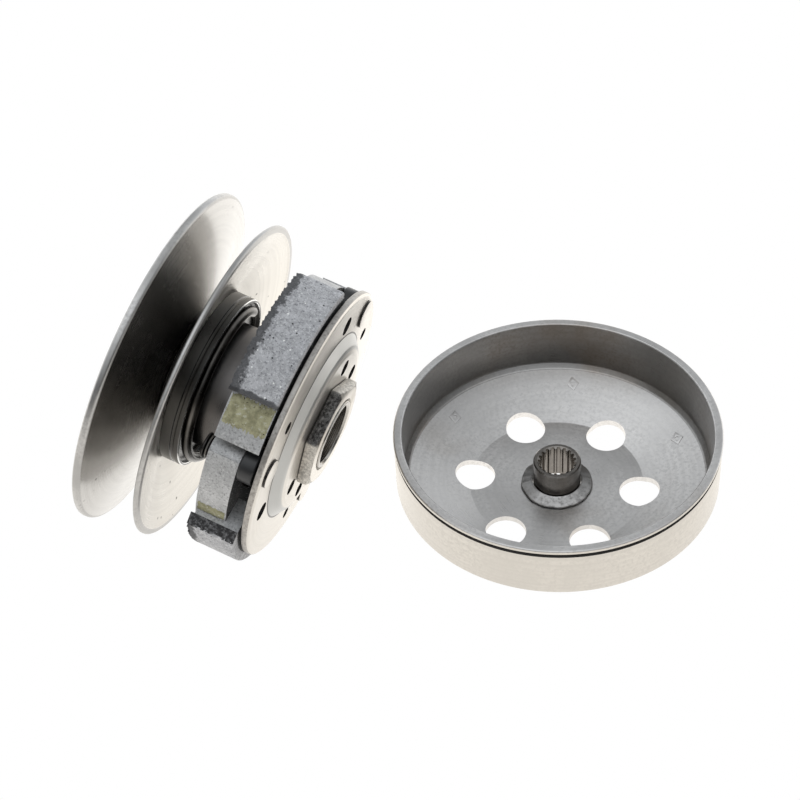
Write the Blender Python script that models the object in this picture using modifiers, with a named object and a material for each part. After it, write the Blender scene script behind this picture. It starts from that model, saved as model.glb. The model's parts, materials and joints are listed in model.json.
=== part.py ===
"""Scooter CVT driven pulley with its centrifugal clutch, and the clutch bell, laid out on a table.

Lengths below are millimetres and are turned into metres by MM where a shape is made.
The pulley unit is modelled in its own frame: local +Z is the unit's axis, from the fixed sheave to the
clutch nut, local +Y points up and local +X points away from the front. Z = 0 is the middle of the movable
sheave's rim. An axial position is written s and an angle about the axis is counted from +X towards +Y.
"""

import math

import bmesh
import bpy
from mathutils import Matrix, Vector

MM = 0.001
GAP = 0.3

# Sheaves
FIXED_R = 59.4
FIXED_FACE_S = -10.6
FIXED_RIM_S = -18.1
FIXED_RIM_W = 2.9
FIXED_SHEET = 2.5
MOVABLE_R = 56.5
MOVABLE_FACE_S = -10.1
MOVABLE_RIM_HALF = 1.4
MOVABLE_LEFT_S = -0.4
MOVABLE_SHEET = 2.2
RIM_EDGE = 0.5
FACE_INNER_R = 20.0
HUB_CLEAR_R = 19.4

# Tube of the fixed sheave and the two bearings inside it
TUBE_R = 14.0
TUBE_BORE_R = 10.5
TUBE_BOSS_R = 17.0
TUBE_LEFT_S = -27.0
TUBE_RIGHT_S = 45.2
THREAD_R = 12.2
SHOULDER_S = 37.6
BALL_R = 2.3
BALL_PITCH_R = 10.75
BALL_S = -21.0
BALL_COUNT = 8
BEARING_HALF_W = 3.3
NEEDLE_R = 1.0
NEEDLE_PITCH_R = 8.55
NEEDLE_S = 27.0
NEEDLE_LENGTH = 10.0
NEEDLE_COUNT = 10

# Cam hub, its guide pins and the seal collar
HUB_R = 19.0
HUB_LEFT_S = -9.9
HUB_RIGHT_S = 23.5
PIN_S = 16.0
PIN_R = 1.9
ROLLER_R = 3.5
SLIDE_TRAVEL = 13.0
CAM_TURN = 0.65  # radians that the movable sheave turns over its travel
SEAL_BORE_R = 16.8
COLLAR_R = 22.0
COLLAR_WALL = 0.9
CUP_R = 30.5
CUP_RIM_S = 2.5
CUP_FLOOR_S = 0.2
CUP_WALL = 0.9

# Contra spring
WIRE_R = 1.85
COIL_R = 26.3
COIL_START_S = 2.4
COIL_END_S = 34.2

# Clutch carrier plate and its nut; a hole is (pitch radius, angle, radius)
PLATE_R = 47.85
PLATE_FACE_S = 37.1
PLATE_SHEET = 2.6
PLATE_EDGE = 0.2
DOME_R = 31.0
DOME_FACE_S = 40.4
DOME_SHEET = 2.5
RING_HOLES = ((38.3, 67.1, 3.3), (38.7, 15.5, 2.2))  # repeated three times
DOME_HOLES = ((22.9, 19.6, 2.9), (22.9, 59.8, 2.9))  # repeated twice
NUT_FLATS = 34.0
NUT_FROM_S = 40.7
NUT_TO_S = 44.8
NUT_CORNER_DEG = 27.6

# Shoes: angles along a shoe are counted from SHOE_DEG
SHOE_COUNT = 3
SHOE_DEG = 154.0
PIVOT_R = 41.0
PIVOT_DEG = 158.0
ARM_R = 48.0
ARM_INNER_R = 36.3
ARM_FROM_S = 17.8
ARM_TO_S = 33.4
HEEL_R = 46.0
HEEL_FROM_S = 17.2
HEEL_TO_S = 28.0
HEEL_END_DEG = 39.0
LINING_FROM_DEG = 35.5
LINING_TO_DEG = 96.0
TOE_DEG = 107.0
LIP_DEG = 114.5
LIP_INNER_R = 46.5
LINING_R = 51.4
LINING_FROM_S = 16.4
LINING_TO_S = 33.5
BOSS_R = 5.0
PIVOT_PIN_R = 3.0
PIVOT_HEAD_R = 4.4
RIVET_R = 4.9
RIVET_S = 38.0
DAMPER_R = 6.2

# Clutch bell
BELL_R = 56.5
BELL_BORE_R = 53.4
BELL_H = 29.0
BELL_WALL = 1.5
BELL_LIP_H = 1.6
BELL_RING_R = 56.3
BELL_FLOOR = 2.1
BELL_FLAT_R = 31.0
BELL_HOLE_R = 7.0
BELL_HOLE_PITCH_R = 29.0
BELL_HOLE_COUNT = 6
BELL_HOLE_DEG = -12.7
BELL_HUB_R = 8.3
BELL_HUB_H = 13.6
SPLINE_ROOT_R = 6.7
SPLINE_TIP_R = 6.0
SPLINE_COUNT = 19
BELL_FLANGE_R = 12.6

# Layout: both pieces lie on the table, Z = 0. The unit rests on two rims, which sets its tilt and height.
BELL_X = 54.0
BELL_Y = -7.0
UNIT_FROM_BELL_X = -115.4
UNIT_FROM_BELL_Y = 7.1
UNIT_YAW = math.radians(25.6)
REST_SPAN = (PLATE_FACE_S - PLATE_EDGE) - (MOVABLE_RIM_HALF - RIM_EDGE)
REST_TILT = math.atan((MOVABLE_R - PLATE_R) / REST_SPAN)
UNIT_Z = (MOVABLE_RIM_HALF - RIM_EDGE) * math.sin(REST_TILT) + MOVABLE_R * math.cos(REST_TILT)

COLOURS = {
    "sheave_steel": ((0.60, 0.58, 0.55), 0.35, 1.0),
    "dark_steel": ((0.07, 0.065, 0.06), 0.4, 1.0),
    "bearing_steel": ((0.62, 0.62, 0.62), 0.2, 1.0),
    "spring_steel": ((0.16, 0.13, 0.10), 0.35, 1.0),
    "plate_steel": ((0.62, 0.60, 0.57), 0.4, 1.0),
    "nut_steel": ((0.35, 0.33, 0.31), 0.5, 1.0),
    "shoe_aluminium": ((0.55, 0.55, 0.54), 0.55, 1.0),
    "lining": ((0.17, 0.17, 0.18), 0.85, 0.0),
    "black_rubber": ((0.02, 0.02, 0.02), 0.5, 0.0),
    "bell_steel": ((0.58, 0.56, 0.53), 0.4, 1.0),
    "bell_hub_steel": ((0.20, 0.20, 0.20), 0.25, 1.0),
}

# Steps of a full turn, by size
LARGE_STEPS = 36
MEDIUM_STEPS = 24
SMALL_STEPS = 18

for old in list(bpy.data.objects):
    bpy.data.objects.remove(old, do_unlink=True)

PARTS = bpy.data.collections.new("cvt_pulley_set")
CUTTERS = bpy.data.collections.new("cutters")
bpy.context.scene.collection.children.link(PARTS)
bpy.context.scene.collection.children.link(CUTTERS)


# Helpers

def material(name):
    made = bpy.data.materials.get(name)
    if made is None:
        colour, roughness, metallic = COLOURS[name]
        made = bpy.data.materials.new(name)
        made.use_nodes = True
        shader = made.node_tree.nodes["Principled BSDF"]
        shader.inputs["Base Color"].default_value = (*colour, 1.0)
        shader.inputs["Roughness"].default_value = roughness
        shader.inputs["Metallic"].default_value = metallic
    return made


def polar(radius, degrees):
    angle = math.radians(degrees)
    return radius * math.cos(angle), radius * math.sin(angle)


def arc(radius, start, end, steps):
    return [polar(radius, start + (end - start) * i / steps) for i in range(steps + 1)]


def add_object(name, data, finish, parent):
    made = bpy.data.objects.new(name, data)
    PARTS.objects.link(made)
    made.parent = parent
    if finish is not None:
        data.materials.append(material(finish))
    return made


def evaluated_mesh(piece):
    bpy.context.view_layer.update()
    mesh = bpy.data.meshes.new_from_object(piece.evaluated_get(bpy.context.evaluated_depsgraph_get()))
    mesh.name = piece.name
    return mesh


def freeze(piece):
    """Replaces a piece's modifiers by the mesh that they make."""
    mesh = evaluated_mesh(piece)
    piece.modifiers.clear()
    piece.data = mesh


def shade(piece, degrees=35):
    piece.data.shade_smooth()
    piece.data.set_sharp_from_angle(angle=math.radians(degrees))


def turned(name, profile, finish, parent, steps=LARGE_STEPS, closed=True):
    """Turns a profile of (radius, s) points, running down its outer side, about the local Z axis."""
    mesh = bpy.data.meshes.new(name)
    count = len(profile)
    edges = [(i, (i + 1) % count) for i in range(count if closed else count - 1)]
    mesh.from_pydata([(r * MM, 0.0, s * MM) for r, s in profile], edges, [])
    piece = add_object(name, mesh, finish, parent)
    screw = piece.modifiers.new("turn", "SCREW")
    screw.steps = steps
    screw.render_steps = steps
    screw.use_merge_vertices = True
    screw.merge_threshold = 0.00001
    freeze(piece)
    shade(piece)
    return piece


def outline(name, loops, s_from, s_to, finish, parent):
    """Extrudes closed loops of (x, y) points from s_from to s_to; a loop inside another is a hole."""
    curve = bpy.data.curves.new(name, "CURVE")
    curve.dimensions = "2D"
    curve.fill_mode = "BOTH"
    curve.extrude = (s_to - s_from) / 2 * MM
    for loop in loops:
        spline = curve.splines.new("POLY")
        spline.points.add(len(loop) - 1)
        for point, (x, y) in zip(spline.points, loop):
            point.co = (x * MM, y * MM, 0.0, 1.0)
        spline.use_cyclic_u = True
    piece = add_object(name, curve, None, None)
    mesh = evaluated_mesh(piece)
    bpy.data.objects.remove(piece, do_unlink=True)
    mesh.transform(Matrix.Translation((0, 0, (s_from + s_to) / 2 * MM)))
    weld(mesh)
    mesh.materials.clear()
    piece = add_object(name, mesh, finish, parent)
    shade(piece)
    return piece


def weld(mesh):
    work = bmesh.new()
    work.from_mesh(mesh)
    bmesh.ops.remove_doubles(work, verts=work.verts, dist=0.000001)
    bmesh.ops.recalc_face_normals(work, faces=work.faces)
    work.to_mesh(mesh)
    work.free()


def wire(name, points, radius, finish, parent, sides=2):
    """A round wire through (x, y, z) points, with closed ends."""
    curve = bpy.data.curves.new(name, "CURVE")
    curve.dimensions = "3D"
    curve.bevel_depth = radius * MM
    curve.bevel_resolution = sides
    curve.use_fill_caps = True
    spline = curve.splines.new("POLY")
    spline.points.add(len(points) - 1)
    for point, place in zip(spline.points, points):
        point.co = (*(Vector(place) * MM), 1.0)
    piece = add_object(name, curve, None, None)
    mesh = evaluated_mesh(piece)
    bpy.data.objects.remove(piece, do_unlink=True)
    weld(mesh)
    mesh.materials.clear()
    piece = add_object(name, mesh, finish, parent)
    piece.data.shade_smooth()
    return piece


def rod(name, radius, s_from, s_to, finish, parent, x=0.0, y=0.0, sides=20):
    work = bmesh.new()
    bmesh.ops.create_cone(
        work, cap_ends=True, segments=sides, radius1=radius * MM, radius2=radius * MM,
        depth=(s_to - s_from) * MM,
        matrix=Matrix.Translation((x * MM, y * MM, (s_from + s_to) / 2 * MM)),
    )
    mesh = bpy.data.meshes.new(name)
    work.to_mesh(mesh)
    work.free()
    piece = add_object(name, mesh, finish, parent)
    shade(piece)
    return piece


def box_mesh(name, size, place):
    work = bmesh.new()
    bmesh.ops.create_cube(work, size=1.0, matrix=place @ Matrix.Diagonal((*(Vector(size) * MM), 1.0)))
    mesh = bpy.data.meshes.new(name)
    work.to_mesh(mesh)
    work.free()
    return mesh


def as_cutter(piece):
    for owner in list(piece.users_collection):
        owner.objects.unlink(piece)
    CUTTERS.objects.link(piece)
    piece.hide_render = True
    piece.display_type = "WIRE"


def combine(piece, others, operation):
    """Cuts the others from a piece, or joins them to it, and leaves them as guides."""
    for other in others:
        as_cutter(other)
        boolean = piece.modifiers.new(operation.lower(), "BOOLEAN")
        boolean.operation = operation
        boolean.object = other
    freeze(piece)
    weld(piece.data)
    shade(piece)
    return piece


def repeat(piece, names, step_deg, parents):
    """Gives each name its own object on the piece's mesh, turned about the axis by step_deg each time."""
    for index, name in enumerate(names, start=1):
        copy = bpy.data.objects.new(name, piece.data)
        PARTS.objects.link(copy)
        set_on(copy, parents[index], Matrix.Rotation(math.radians(step_deg * index), 4, "Z"))


def set_on(piece, parent, place=Matrix.Identity(4)):
    """Parents a piece that is modelled in its unit's frame to an empty of that unit."""
    piece.parent = parent
    piece.matrix_parent_inverse = parent.matrix_basis.inverted() if parent.parent else Matrix.Identity(4)
    piece.matrix_basis = place


def empty(name, place, parent=None):
    made = bpy.data.objects.new(name, None)
    PARTS.objects.link(made)
    made.empty_display_size = 0.01
    made.parent = parent
    made.matrix_basis = place
    return made


# Frames

unit_place = (
    Matrix.Translation(
        Vector((BELL_X + UNIT_FROM_BELL_X, BELL_Y + UNIT_FROM_BELL_Y, UNIT_Z)) * MM
    )
    @ Matrix.Rotation(-UNIT_YAW, 4, "Z")
    @ Matrix.Rotation(math.pi / 2 + REST_TILT, 4, "Y")
    @ Matrix.Rotation(math.pi / 2, 4, "Z")
)
UNIT = empty("unit_axis", unit_place)
BELL = empty("bell_axis", Matrix.Translation((BELL_X * MM, BELL_Y * MM, 0.0)))
THIRDS = [120.0 * k for k in range(SHOE_COUNT)]
PIVOTS = []
for number, turn in enumerate(THIRDS, start=1):
    px, py = polar(PIVOT_R, PIVOT_DEG + turn)
    PIVOTS.append(empty(f"shoe_pivot_{number}", Matrix.Translation((px * MM, py * MM, 0.0)), UNIT))


# Pulley

def fixed_face(radius):
    slope = (FIXED_RIM_S - FIXED_FACE_S) / (FIXED_R - 1.6 - FACE_INNER_R)
    return FIXED_FACE_S + slope * (radius - FACE_INNER_R)


def movable_face(radius):
    slope = (MOVABLE_LEFT_S - MOVABLE_FACE_S) / (MOVABLE_R - 1.6 - FACE_INNER_R)
    return MOVABLE_FACE_S + slope * (radius - FACE_INNER_R)


def make_fixed_sheave():
    back_s = FIXED_RIM_S - FIXED_RIM_W
    profile = [
        (FIXED_R - RIM_EDGE, FIXED_RIM_S),
        (FIXED_R, FIXED_RIM_S - RIM_EDGE),
        (FIXED_R, back_s + RIM_EDGE),
        (FIXED_R - RIM_EDGE, back_s),
        (FIXED_R - 2.2, back_s),
        (FIXED_R - 3.2, fixed_face(FIXED_R - 3.2) - FIXED_SHEET),
        (FACE_INNER_R, FIXED_FACE_S - FIXED_SHEET),
        (TUBE_R + GAP, FIXED_FACE_S - FIXED_SHEET),
        (TUBE_R + GAP, FIXED_FACE_S),
        (FACE_INNER_R, FIXED_FACE_S),
        (FIXED_R - 1.6, FIXED_RIM_S),
    ]
    turned("fixed_sheave", profile, "sheave_steel", UNIT, steps=LARGE_STEPS)


def make_movable_sheave():
    half = MOVABLE_RIM_HALF
    profile = [
        (MOVABLE_R - RIM_EDGE, half),
        (MOVABLE_R, half - RIM_EDGE),
        (MOVABLE_R, MOVABLE_LEFT_S + RIM_EDGE),
        (MOVABLE_R - RIM_EDGE, MOVABLE_LEFT_S),
        (MOVABLE_R - 1.6, MOVABLE_LEFT_S),
        (FACE_INNER_R, MOVABLE_FACE_S),
        (HUB_CLEAR_R, MOVABLE_FACE_S),
        (HUB_CLEAR_R, MOVABLE_FACE_S + MOVABLE_SHEET),
        (FACE_INNER_R + 0.3, MOVABLE_FACE_S + MOVABLE_SHEET),
        (MOVABLE_R - 3.0, half - 0.5),
        (MOVABLE_R - 2.3, half),
    ]
    turned("movable_sheave", profile, "sheave_steel", UNIT, steps=LARGE_STEPS)


def make_tube():
    seat_r = TUBE_R + GAP
    seat_s = BALL_S + BEARING_HALF_W + GAP
    clip_s = BALL_S - BEARING_HALF_W - GAP
    profile = [
        (THREAD_R - 0.4, TUBE_RIGHT_S),
        (THREAD_R, TUBE_RIGHT_S - 0.4),
        (THREAD_R, SHOULDER_S),
        (TUBE_R, SHOULDER_S),
        (TUBE_R, FIXED_FACE_S - FIXED_SHEET - GAP),
        (TUBE_BOSS_R, FIXED_FACE_S - FIXED_SHEET - GAP),
        (TUBE_BOSS_R, TUBE_LEFT_S),
        (seat_r, TUBE_LEFT_S),
        (seat_r, clip_s - 1.4),
        (seat_r + 1.0, clip_s - 1.4),
        (seat_r + 1.0, clip_s),
        (seat_r, clip_s),
        (seat_r, seat_s),
        (TUBE_BORE_R, seat_s),
        (TUBE_BORE_R, TUBE_RIGHT_S),
    ]
    tube = turned("sheave_tube", profile, "bearing_steel", UNIT, steps=MEDIUM_STEPS)
    holes = [radial_rod(f"tube_hole_{k}", PIN_R + GAP, TUBE_BORE_R - 2, TUBE_R + 2, k, None) for k in (0, 1, 2)]
    combine(tube, holes, "DIFFERENCE")


def radial_place(radius, index):
    """A frame at a guide pin's angle whose Z axis points out along the pin, centred at a radius."""
    turn = Matrix.Rotation(math.radians(THIRDS[index] + 90.0), 4, "Z")
    return turn @ Matrix.Translation((radius * MM, 0.0, PIN_S * MM)) @ Matrix.Rotation(math.pi / 2, 4, "Y")


def radial_rod(name, radius, r_from, r_to, index, finish):
    piece = rod(name, radius, -(r_to - r_from) / 2, (r_to - r_from) / 2, finish, None, sides=14)
    piece.data.transform(radial_place((r_from + r_to) / 2, index))
    piece.parent = UNIT
    return piece


def make_guide_pins():
    top = HUB_R + 1.3
    for index in range(3):
        radial_rod(f"guide_pin_{index + 1}", PIN_R, TUBE_BORE_R + 0.4, top, index, "bearing_steel")
        half = (top - TUBE_R - 0.5) / 2
        bore = PIN_R + GAP
        profile = [(ROLLER_R, half), (ROLLER_R, -half), (bore, -half), (bore, half)]
        roller = turned(f"guide_roller_{index + 1}", profile, "dark_steel", UNIT, steps=18)
        roller.data.transform(radial_place(TUBE_R + 0.5 + half, index))


def cam_slot(index):
    """A cutter that follows the helix which a guide roller draws in the hub."""
    mean_r = (TUBE_R + HUB_R) / 2
    sideways = mean_r * CAM_TURN
    length = math.hypot(sideways, SLIDE_TRAVEL)
    half_w = ROLLER_R + 0.65
    end = ROLLER_R + 0.25
    work = bmesh.new()
    bmesh.ops.create_grid(work, x_segments=12, y_segments=1, size=0.5)
    for vert in work.verts:
        along = (vert.co.x + 0.5) * (length + 2 * end) - end
        across = vert.co.y * 2 * half_w
        around = -(along * sideways + across * SLIDE_TRAVEL) / length
        s = PIN_S + (-along * SLIDE_TRAVEL + across * sideways) / length
        angle = math.degrees(around / mean_r) + THIRDS[index] + 90.0
        vert.co = (*(c * MM for c in polar(TUBE_R - 2.0, angle)), s * MM)
    faces = bmesh.ops.extrude_face_region(work, geom=work.faces[:])
    grow = (HUB_R + 3.0) / (TUBE_R - 2.0)
    for vert in [g for g in faces["geom"] if isinstance(g, bmesh.types.BMVert)]:
        vert.co.x *= grow
        vert.co.y *= grow
    bmesh.ops.recalc_face_normals(work, faces=work.faces)
    mesh = bpy.data.meshes.new(f"cam_slot_{index}")
    work.to_mesh(mesh)
    work.free()
    return add_object(mesh.name, mesh, None, UNIT)


def make_cam_hub():
    flange_s = -6.7
    profile = [
        (HUB_R, HUB_RIGHT_S),
        (HUB_R, flange_s + 1.5),
        (HUB_R + 3.5, flange_s + 1.5),
        (HUB_R + 3.5, flange_s),
        (HUB_R, flange_s),
        (HUB_R, HUB_LEFT_S),
        (SEAL_BORE_R, HUB_LEFT_S),
        (SEAL_BORE_R, HUB_LEFT_S + 2.6),
        (TUBE_R + GAP, HUB_LEFT_S + 2.6),
        (TUBE_R + GAP, HUB_RIGHT_S - 3.1),
        (SEAL_BORE_R, HUB_RIGHT_S - 3.1),
        (SEAL_BORE_R, HUB_RIGHT_S),
    ]
    hub = turned("cam_hub", profile, "bearing_steel", UNIT, steps=MEDIUM_STEPS)
    combine(hub, [cam_slot(k) for k in range(3)], "DIFFERENCE")


def ring(name, r_in, r_out, s_from, s_to, finish, parent, steps=MEDIUM_STEPS):
    profile = [(r_out, s_to), (r_out, s_from), (r_in, s_from), (r_in, s_to)]
    return turned(name, profile, finish, parent, steps)


def o_ring(name, pitch_r, section_r, s, finish):
    profile = []
    for k in range(5):
        x, y = polar(section_r, 72.0 - 72.0 * k)
        profile.append((pitch_r + x, s + y))
    turned(name, profile, finish, UNIT, steps=SMALL_STEPS)


def make_seals():
    inner, outer = TUBE_R + GAP, SEAL_BORE_R - GAP
    ring("hub_oil_seal_1", inner, outer, HUB_LEFT_S + 0.3, HUB_LEFT_S + 2.3, "black_rubber", UNIT, SMALL_STEPS)
    ring("hub_oil_seal_2", inner, outer, HUB_RIGHT_S - 2.8, HUB_RIGHT_S - 0.3, "black_rubber", UNIT, SMALL_STEPS)
    o_ring("collar_o_ring_1", HUB_R + 1.05, 0.75, -3.2, "black_rubber")
    o_ring("collar_o_ring_2", HUB_R + 1.05, 0.75, 22.2, "black_rubber")


def make_spring_seat():
    ring("seal_collar", COLLAR_R - COLLAR_WALL, COLLAR_R, -4.9, HUB_RIGHT_S, "dark_steel", UNIT, 36)
    wall_r = CUP_R - CUP_WALL
    profile = [
        (CUP_R - 0.3, CUP_RIM_S),
        (CUP_R, CUP_RIM_S - 0.3),
        (CUP_R, -4.5),
        (wall_r, -4.5),
        (wall_r, CUP_FLOOR_S - 1.0),
        (COLLAR_R + GAP, CUP_FLOOR_S - 1.0),
        (COLLAR_R + GAP, CUP_FLOOR_S),
        (wall_r, CUP_FLOOR_S),
        (wall_r, CUP_RIM_S),
    ]
    turned("spring_seat_cup", profile, "dark_steel", UNIT, steps=32)


def coil_height(turns):
    """Wire centre along the axis: half a closed turn, a quick rise, three turns, half a closed turn."""
    knots = [(0.0, COIL_START_S), (0.5, 3.8), (1.0, 14.8), (3.5, 31.5), (4.0, COIL_END_S)]
    for (t0, s0), (t1, s1) in zip(knots, knots[1:]):
        if turns <= t1 + 1e-9:
            return s0 + (s1 - s0) * (turns - t0) / (t1 - t0)
    return COIL_END_S


def make_contra_spring():
    segments, turns, start_deg = 16, 4.0, 41.0
    points = []
    for i in range(int(segments * turns) + 1):
        t = i / segments
        x, y = polar(COIL_R, start_deg + 360.0 * t)
        points.append((x, y, coil_height(t)))
    wire("contra_spring", points, WIRE_R, "spring_steel", UNIT, sides=1)
    ring("spring_end_washer", 23.2, 29.4, 36.35, 37.25, "bearing_steel", UNIT)


# Bearings in the tube

def make_ball_bearing():
    top, bottom = BALL_S + BEARING_HALF_W, BALL_S - BEARING_HALF_W
    groove = [(BALL_S + 1.6, 0.0), (BALL_S + 0.8, 0.95), (BALL_S - 0.8, 0.95), (BALL_S - 1.6, 0.0)]
    inside = [(12.5 + depth, s) for s, depth in reversed(groove)]
    outer = [(TUBE_R, top), (TUBE_R, bottom), (12.5, bottom)] + inside + [(12.5, top)]
    turned("ball_bearing_outer_ring", outer, "bearing_steel", UNIT, steps=20)
    outside = [(9.0 - depth, s) for s, depth in groove]
    inner = [(9.0, top)] + outside + [(9.0, bottom), (7.5, bottom), (7.5, top)]
    turned("ball_bearing_inner_ring", inner, "bearing_steel", UNIT, steps=20)
    cage = ring("ball_cage", 10.3, 11.2, BALL_S - 1.7, BALL_S + 1.7, "bearing_steel", UNIT, 20)
    balls = [ball(k) for k in range(BALL_COUNT)]
    combine(cage, balls, "UNION")
    clip_s = BALL_S - BEARING_HALF_W - GAP
    circlip = [polar(15.0, d) for d in range(20, 341, 20)] + [polar(12.9, d) for d in range(340, 19, -20)]
    outline("bearing_circlip", [circlip], clip_s - 1.15, clip_s - 0.25, "spring_steel", UNIT)


def ball(index):
    x, y = polar(BALL_PITCH_R, 360.0 * index / BALL_COUNT + 7.0)
    work = bmesh.new()
    bmesh.ops.create_uvsphere(
        work, u_segments=8, v_segments=5, radius=BALL_R * MM,
        matrix=Matrix.Translation((x * MM, y * MM, BALL_S * MM)),
    )
    mesh = bpy.data.meshes.new(f"ball_{index}")
    work.to_mesh(mesh)
    work.free()
    return add_object(mesh.name, mesh, None, UNIT)


def make_needle_bearing():
    half = NEEDLE_LENGTH / 2
    shell_r, lip_r = TUBE_BORE_R - GAP, NEEDLE_PITCH_R - 0.2
    profile = [
        (shell_r, NEEDLE_S + half + 1.0),
        (shell_r, NEEDLE_S - half - 1.0),
        (lip_r, NEEDLE_S - half - 1.0),
        (lip_r, NEEDLE_S - half - 0.5),
        (shell_r - 0.5, NEEDLE_S - half - 0.5),
        (shell_r - 0.5, NEEDLE_S + half + 0.5),
        (lip_r, NEEDLE_S + half + 0.5),
        (lip_r, NEEDLE_S + half + 1.0),
    ]
    turned("needle_bearing_shell", profile, "bearing_steel", UNIT, steps=20)
    cage = ring("needle_cage", 8.35, 8.8, NEEDLE_S - half, NEEDLE_S + half, "bearing_steel", UNIT, 20)
    rollers = []
    for k in range(NEEDLE_COUNT):
        x, y = polar(NEEDLE_PITCH_R, 360.0 * k / NEEDLE_COUNT + 4.0)
        rollers.append(
            rod(f"needle_{k}", NEEDLE_R, NEEDLE_S - half + 0.7, NEEDLE_S + half - 0.7, None, UNIT, x, y, 6)
        )
    combine(cage, rollers, "UNION")


# Clutch

def make_carrier_plate():
    profile = [
        (PLATE_R - PLATE_EDGE, PLATE_FACE_S),
        (PLATE_R, PLATE_FACE_S - PLATE_EDGE),
        (PLATE_R, PLATE_FACE_S - PLATE_SHEET),
        (DOME_R + 1.4, PLATE_FACE_S - PLATE_SHEET),
        (DOME_R - 1.2, DOME_FACE_S - DOME_SHEET),
        (THREAD_R + GAP, DOME_FACE_S - DOME_SHEET),
        (THREAD_R + GAP, DOME_FACE_S),
        (DOME_R - 3.8, DOME_FACE_S),
        (DOME_R - 1.0, DOME_FACE_S - 0.7),
        (DOME_R + 2.6, PLATE_FACE_S),
    ]
    plate = turned("carrier_plate", profile, "plate_steel", UNIT, steps=LARGE_STEPS)
    holes = [(r, deg + turn, size) for turn in THIRDS for r, deg, size in RING_HOLES]
    holes += [(r, deg + turn, size) for turn in (0.0, 180.0) for r, deg, size in DOME_HOLES]
    holes += [(PIVOT_R, PIVOT_DEG + turn, PIVOT_PIN_R + GAP) for turn in THIRDS]
    cutters = []
    for k, (radius, degrees, size) in enumerate(holes):
        x, y = polar(radius, degrees)
        cutters.append(rod(f"plate_hole_{k}", size, 30, 45, None, UNIT, x, y, 14))
    combine(plate, cutters, "DIFFERENCE")


def make_nut():
    corner_r = NUT_FLATS / math.sqrt(3)
    hexagon = [polar(corner_r, NUT_CORNER_DEG + 60.0 * k) for k in range(6)]
    bore = arc(THREAD_R + GAP, 0.0, 348.75, 31)
    nut = outline("clutch_nut", [hexagon, bore], NUT_FROM_S, NUT_TO_S, "nut_steel", UNIT)
    cone = turned(
        "nut_chamfer",
        [(corner_r + 3, NUT_TO_S + 1), (corner_r + 3, NUT_TO_S - 2.1), (NUT_FLATS / 2 - 0.8, NUT_TO_S + 1)],
        None, UNIT, steps=MEDIUM_STEPS,
    )
    combine(nut, [cone], "DIFFERENCE")


def sector(name, r_in, r_out, deg_from, deg_to, s_from, s_to, finish, steps=12):
    loop = arc(r_out, deg_from, deg_to, steps) + arc(r_in, deg_to, deg_from, steps)
    return outline(name, [loop], s_from, s_to, finish, UNIT)


def make_shoes():
    p = SHOE_DEG
    start = p + LINING_FROM_DEG + 0.4
    loop = arc(ARM_R, start, p + LIP_DEG, 14)
    loop += arc(LIP_INNER_R, p + LIP_DEG, p + TOE_DEG, 2)
    loop += arc(ARM_INNER_R, p + TOE_DEG, start, 10)
    arm = outline("shoe_arm_1", [loop], ARM_FROM_S, ARM_TO_S, "shoe_aluminium", UNIT)
    heel = sector("heel", ARM_INNER_R + 0.4, HEEL_R, p + 3, p + HEEL_END_DEG, HEEL_FROM_S, HEEL_TO_S, None)
    x, y = polar(PIVOT_R, PIVOT_DEG)
    boss = rod("boss", BOSS_R, HEEL_FROM_S, HEEL_TO_S, None, UNIT, x, y, 16)
    hole = rod("pivot_hole", PIVOT_PIN_R + GAP, HEEL_FROM_S - 3, HEEL_TO_S + 3, None, UNIT, x, y, 16)
    combine(arm, [heel, boss], "UNION")
    combine(arm, [hole], "DIFFERENCE")
    set_on(arm, PIVOTS[0])
    repeat(arm, ["shoe_arm_2", "shoe_arm_3"], 120.0, PIVOTS)
    lining = sector(
        "shoe_lining_1", ARM_R + 0.05, LINING_R, p + LINING_FROM_DEG, p + LINING_TO_DEG,
        LINING_FROM_S, LINING_TO_S, "lining", 14,
    )
    set_on(lining, PIVOTS[0])
    repeat(lining, ["shoe_lining_2", "shoe_lining_3"], 120.0, PIVOTS)


def make_pivots():
    x, y = polar(PIVOT_R, PIVOT_DEG)
    r = PIVOT_PIN_R
    profile = [
        (0.0, RIVET_S), (RIVET_R - 0.3, RIVET_S), (RIVET_R, RIVET_S - 0.25), (RIVET_R, PLATE_FACE_S + GAP),
        (r, PLATE_FACE_S + GAP), (r, 16.4), (r - 1.0, 16.4), (r - 1.0, 15.7), (r, 15.6),
        (PIVOT_HEAD_R, 15.3), (PIVOT_HEAD_R, 14.7), (PIVOT_HEAD_R - 0.9, 14.3), (0.0, 14.2),
    ]
    pin = turned("pivot_pin_1", profile, "dark_steel", UNIT, steps=12, closed=False)
    clip = [polar(3.9, d) for d in range(30, 331, 30)] + [polar(2.25, d) for d in range(330, 29, -30)]
    washer = outline("pivot_clip_1", [clip], 15.8, 16.3, "spring_steel", UNIT)
    rubber = ring("damper_rubber_1", r + GAP, DAMPER_R, HEEL_TO_S + GAP, PLATE_FACE_S - PLATE_SHEET - 0.6,
                  "black_rubber", UNIT, 18)
    for piece, stem in ((pin, "pivot_pin"), (washer, "pivot_clip"), (rubber, "damper_rubber")):
        piece.data.transform(Matrix.Translation((x * MM, y * MM, 0.0)))
        repeat(piece, [f"{stem}_2", f"{stem}_3"], 120.0, [UNIT] * 3)


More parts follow.
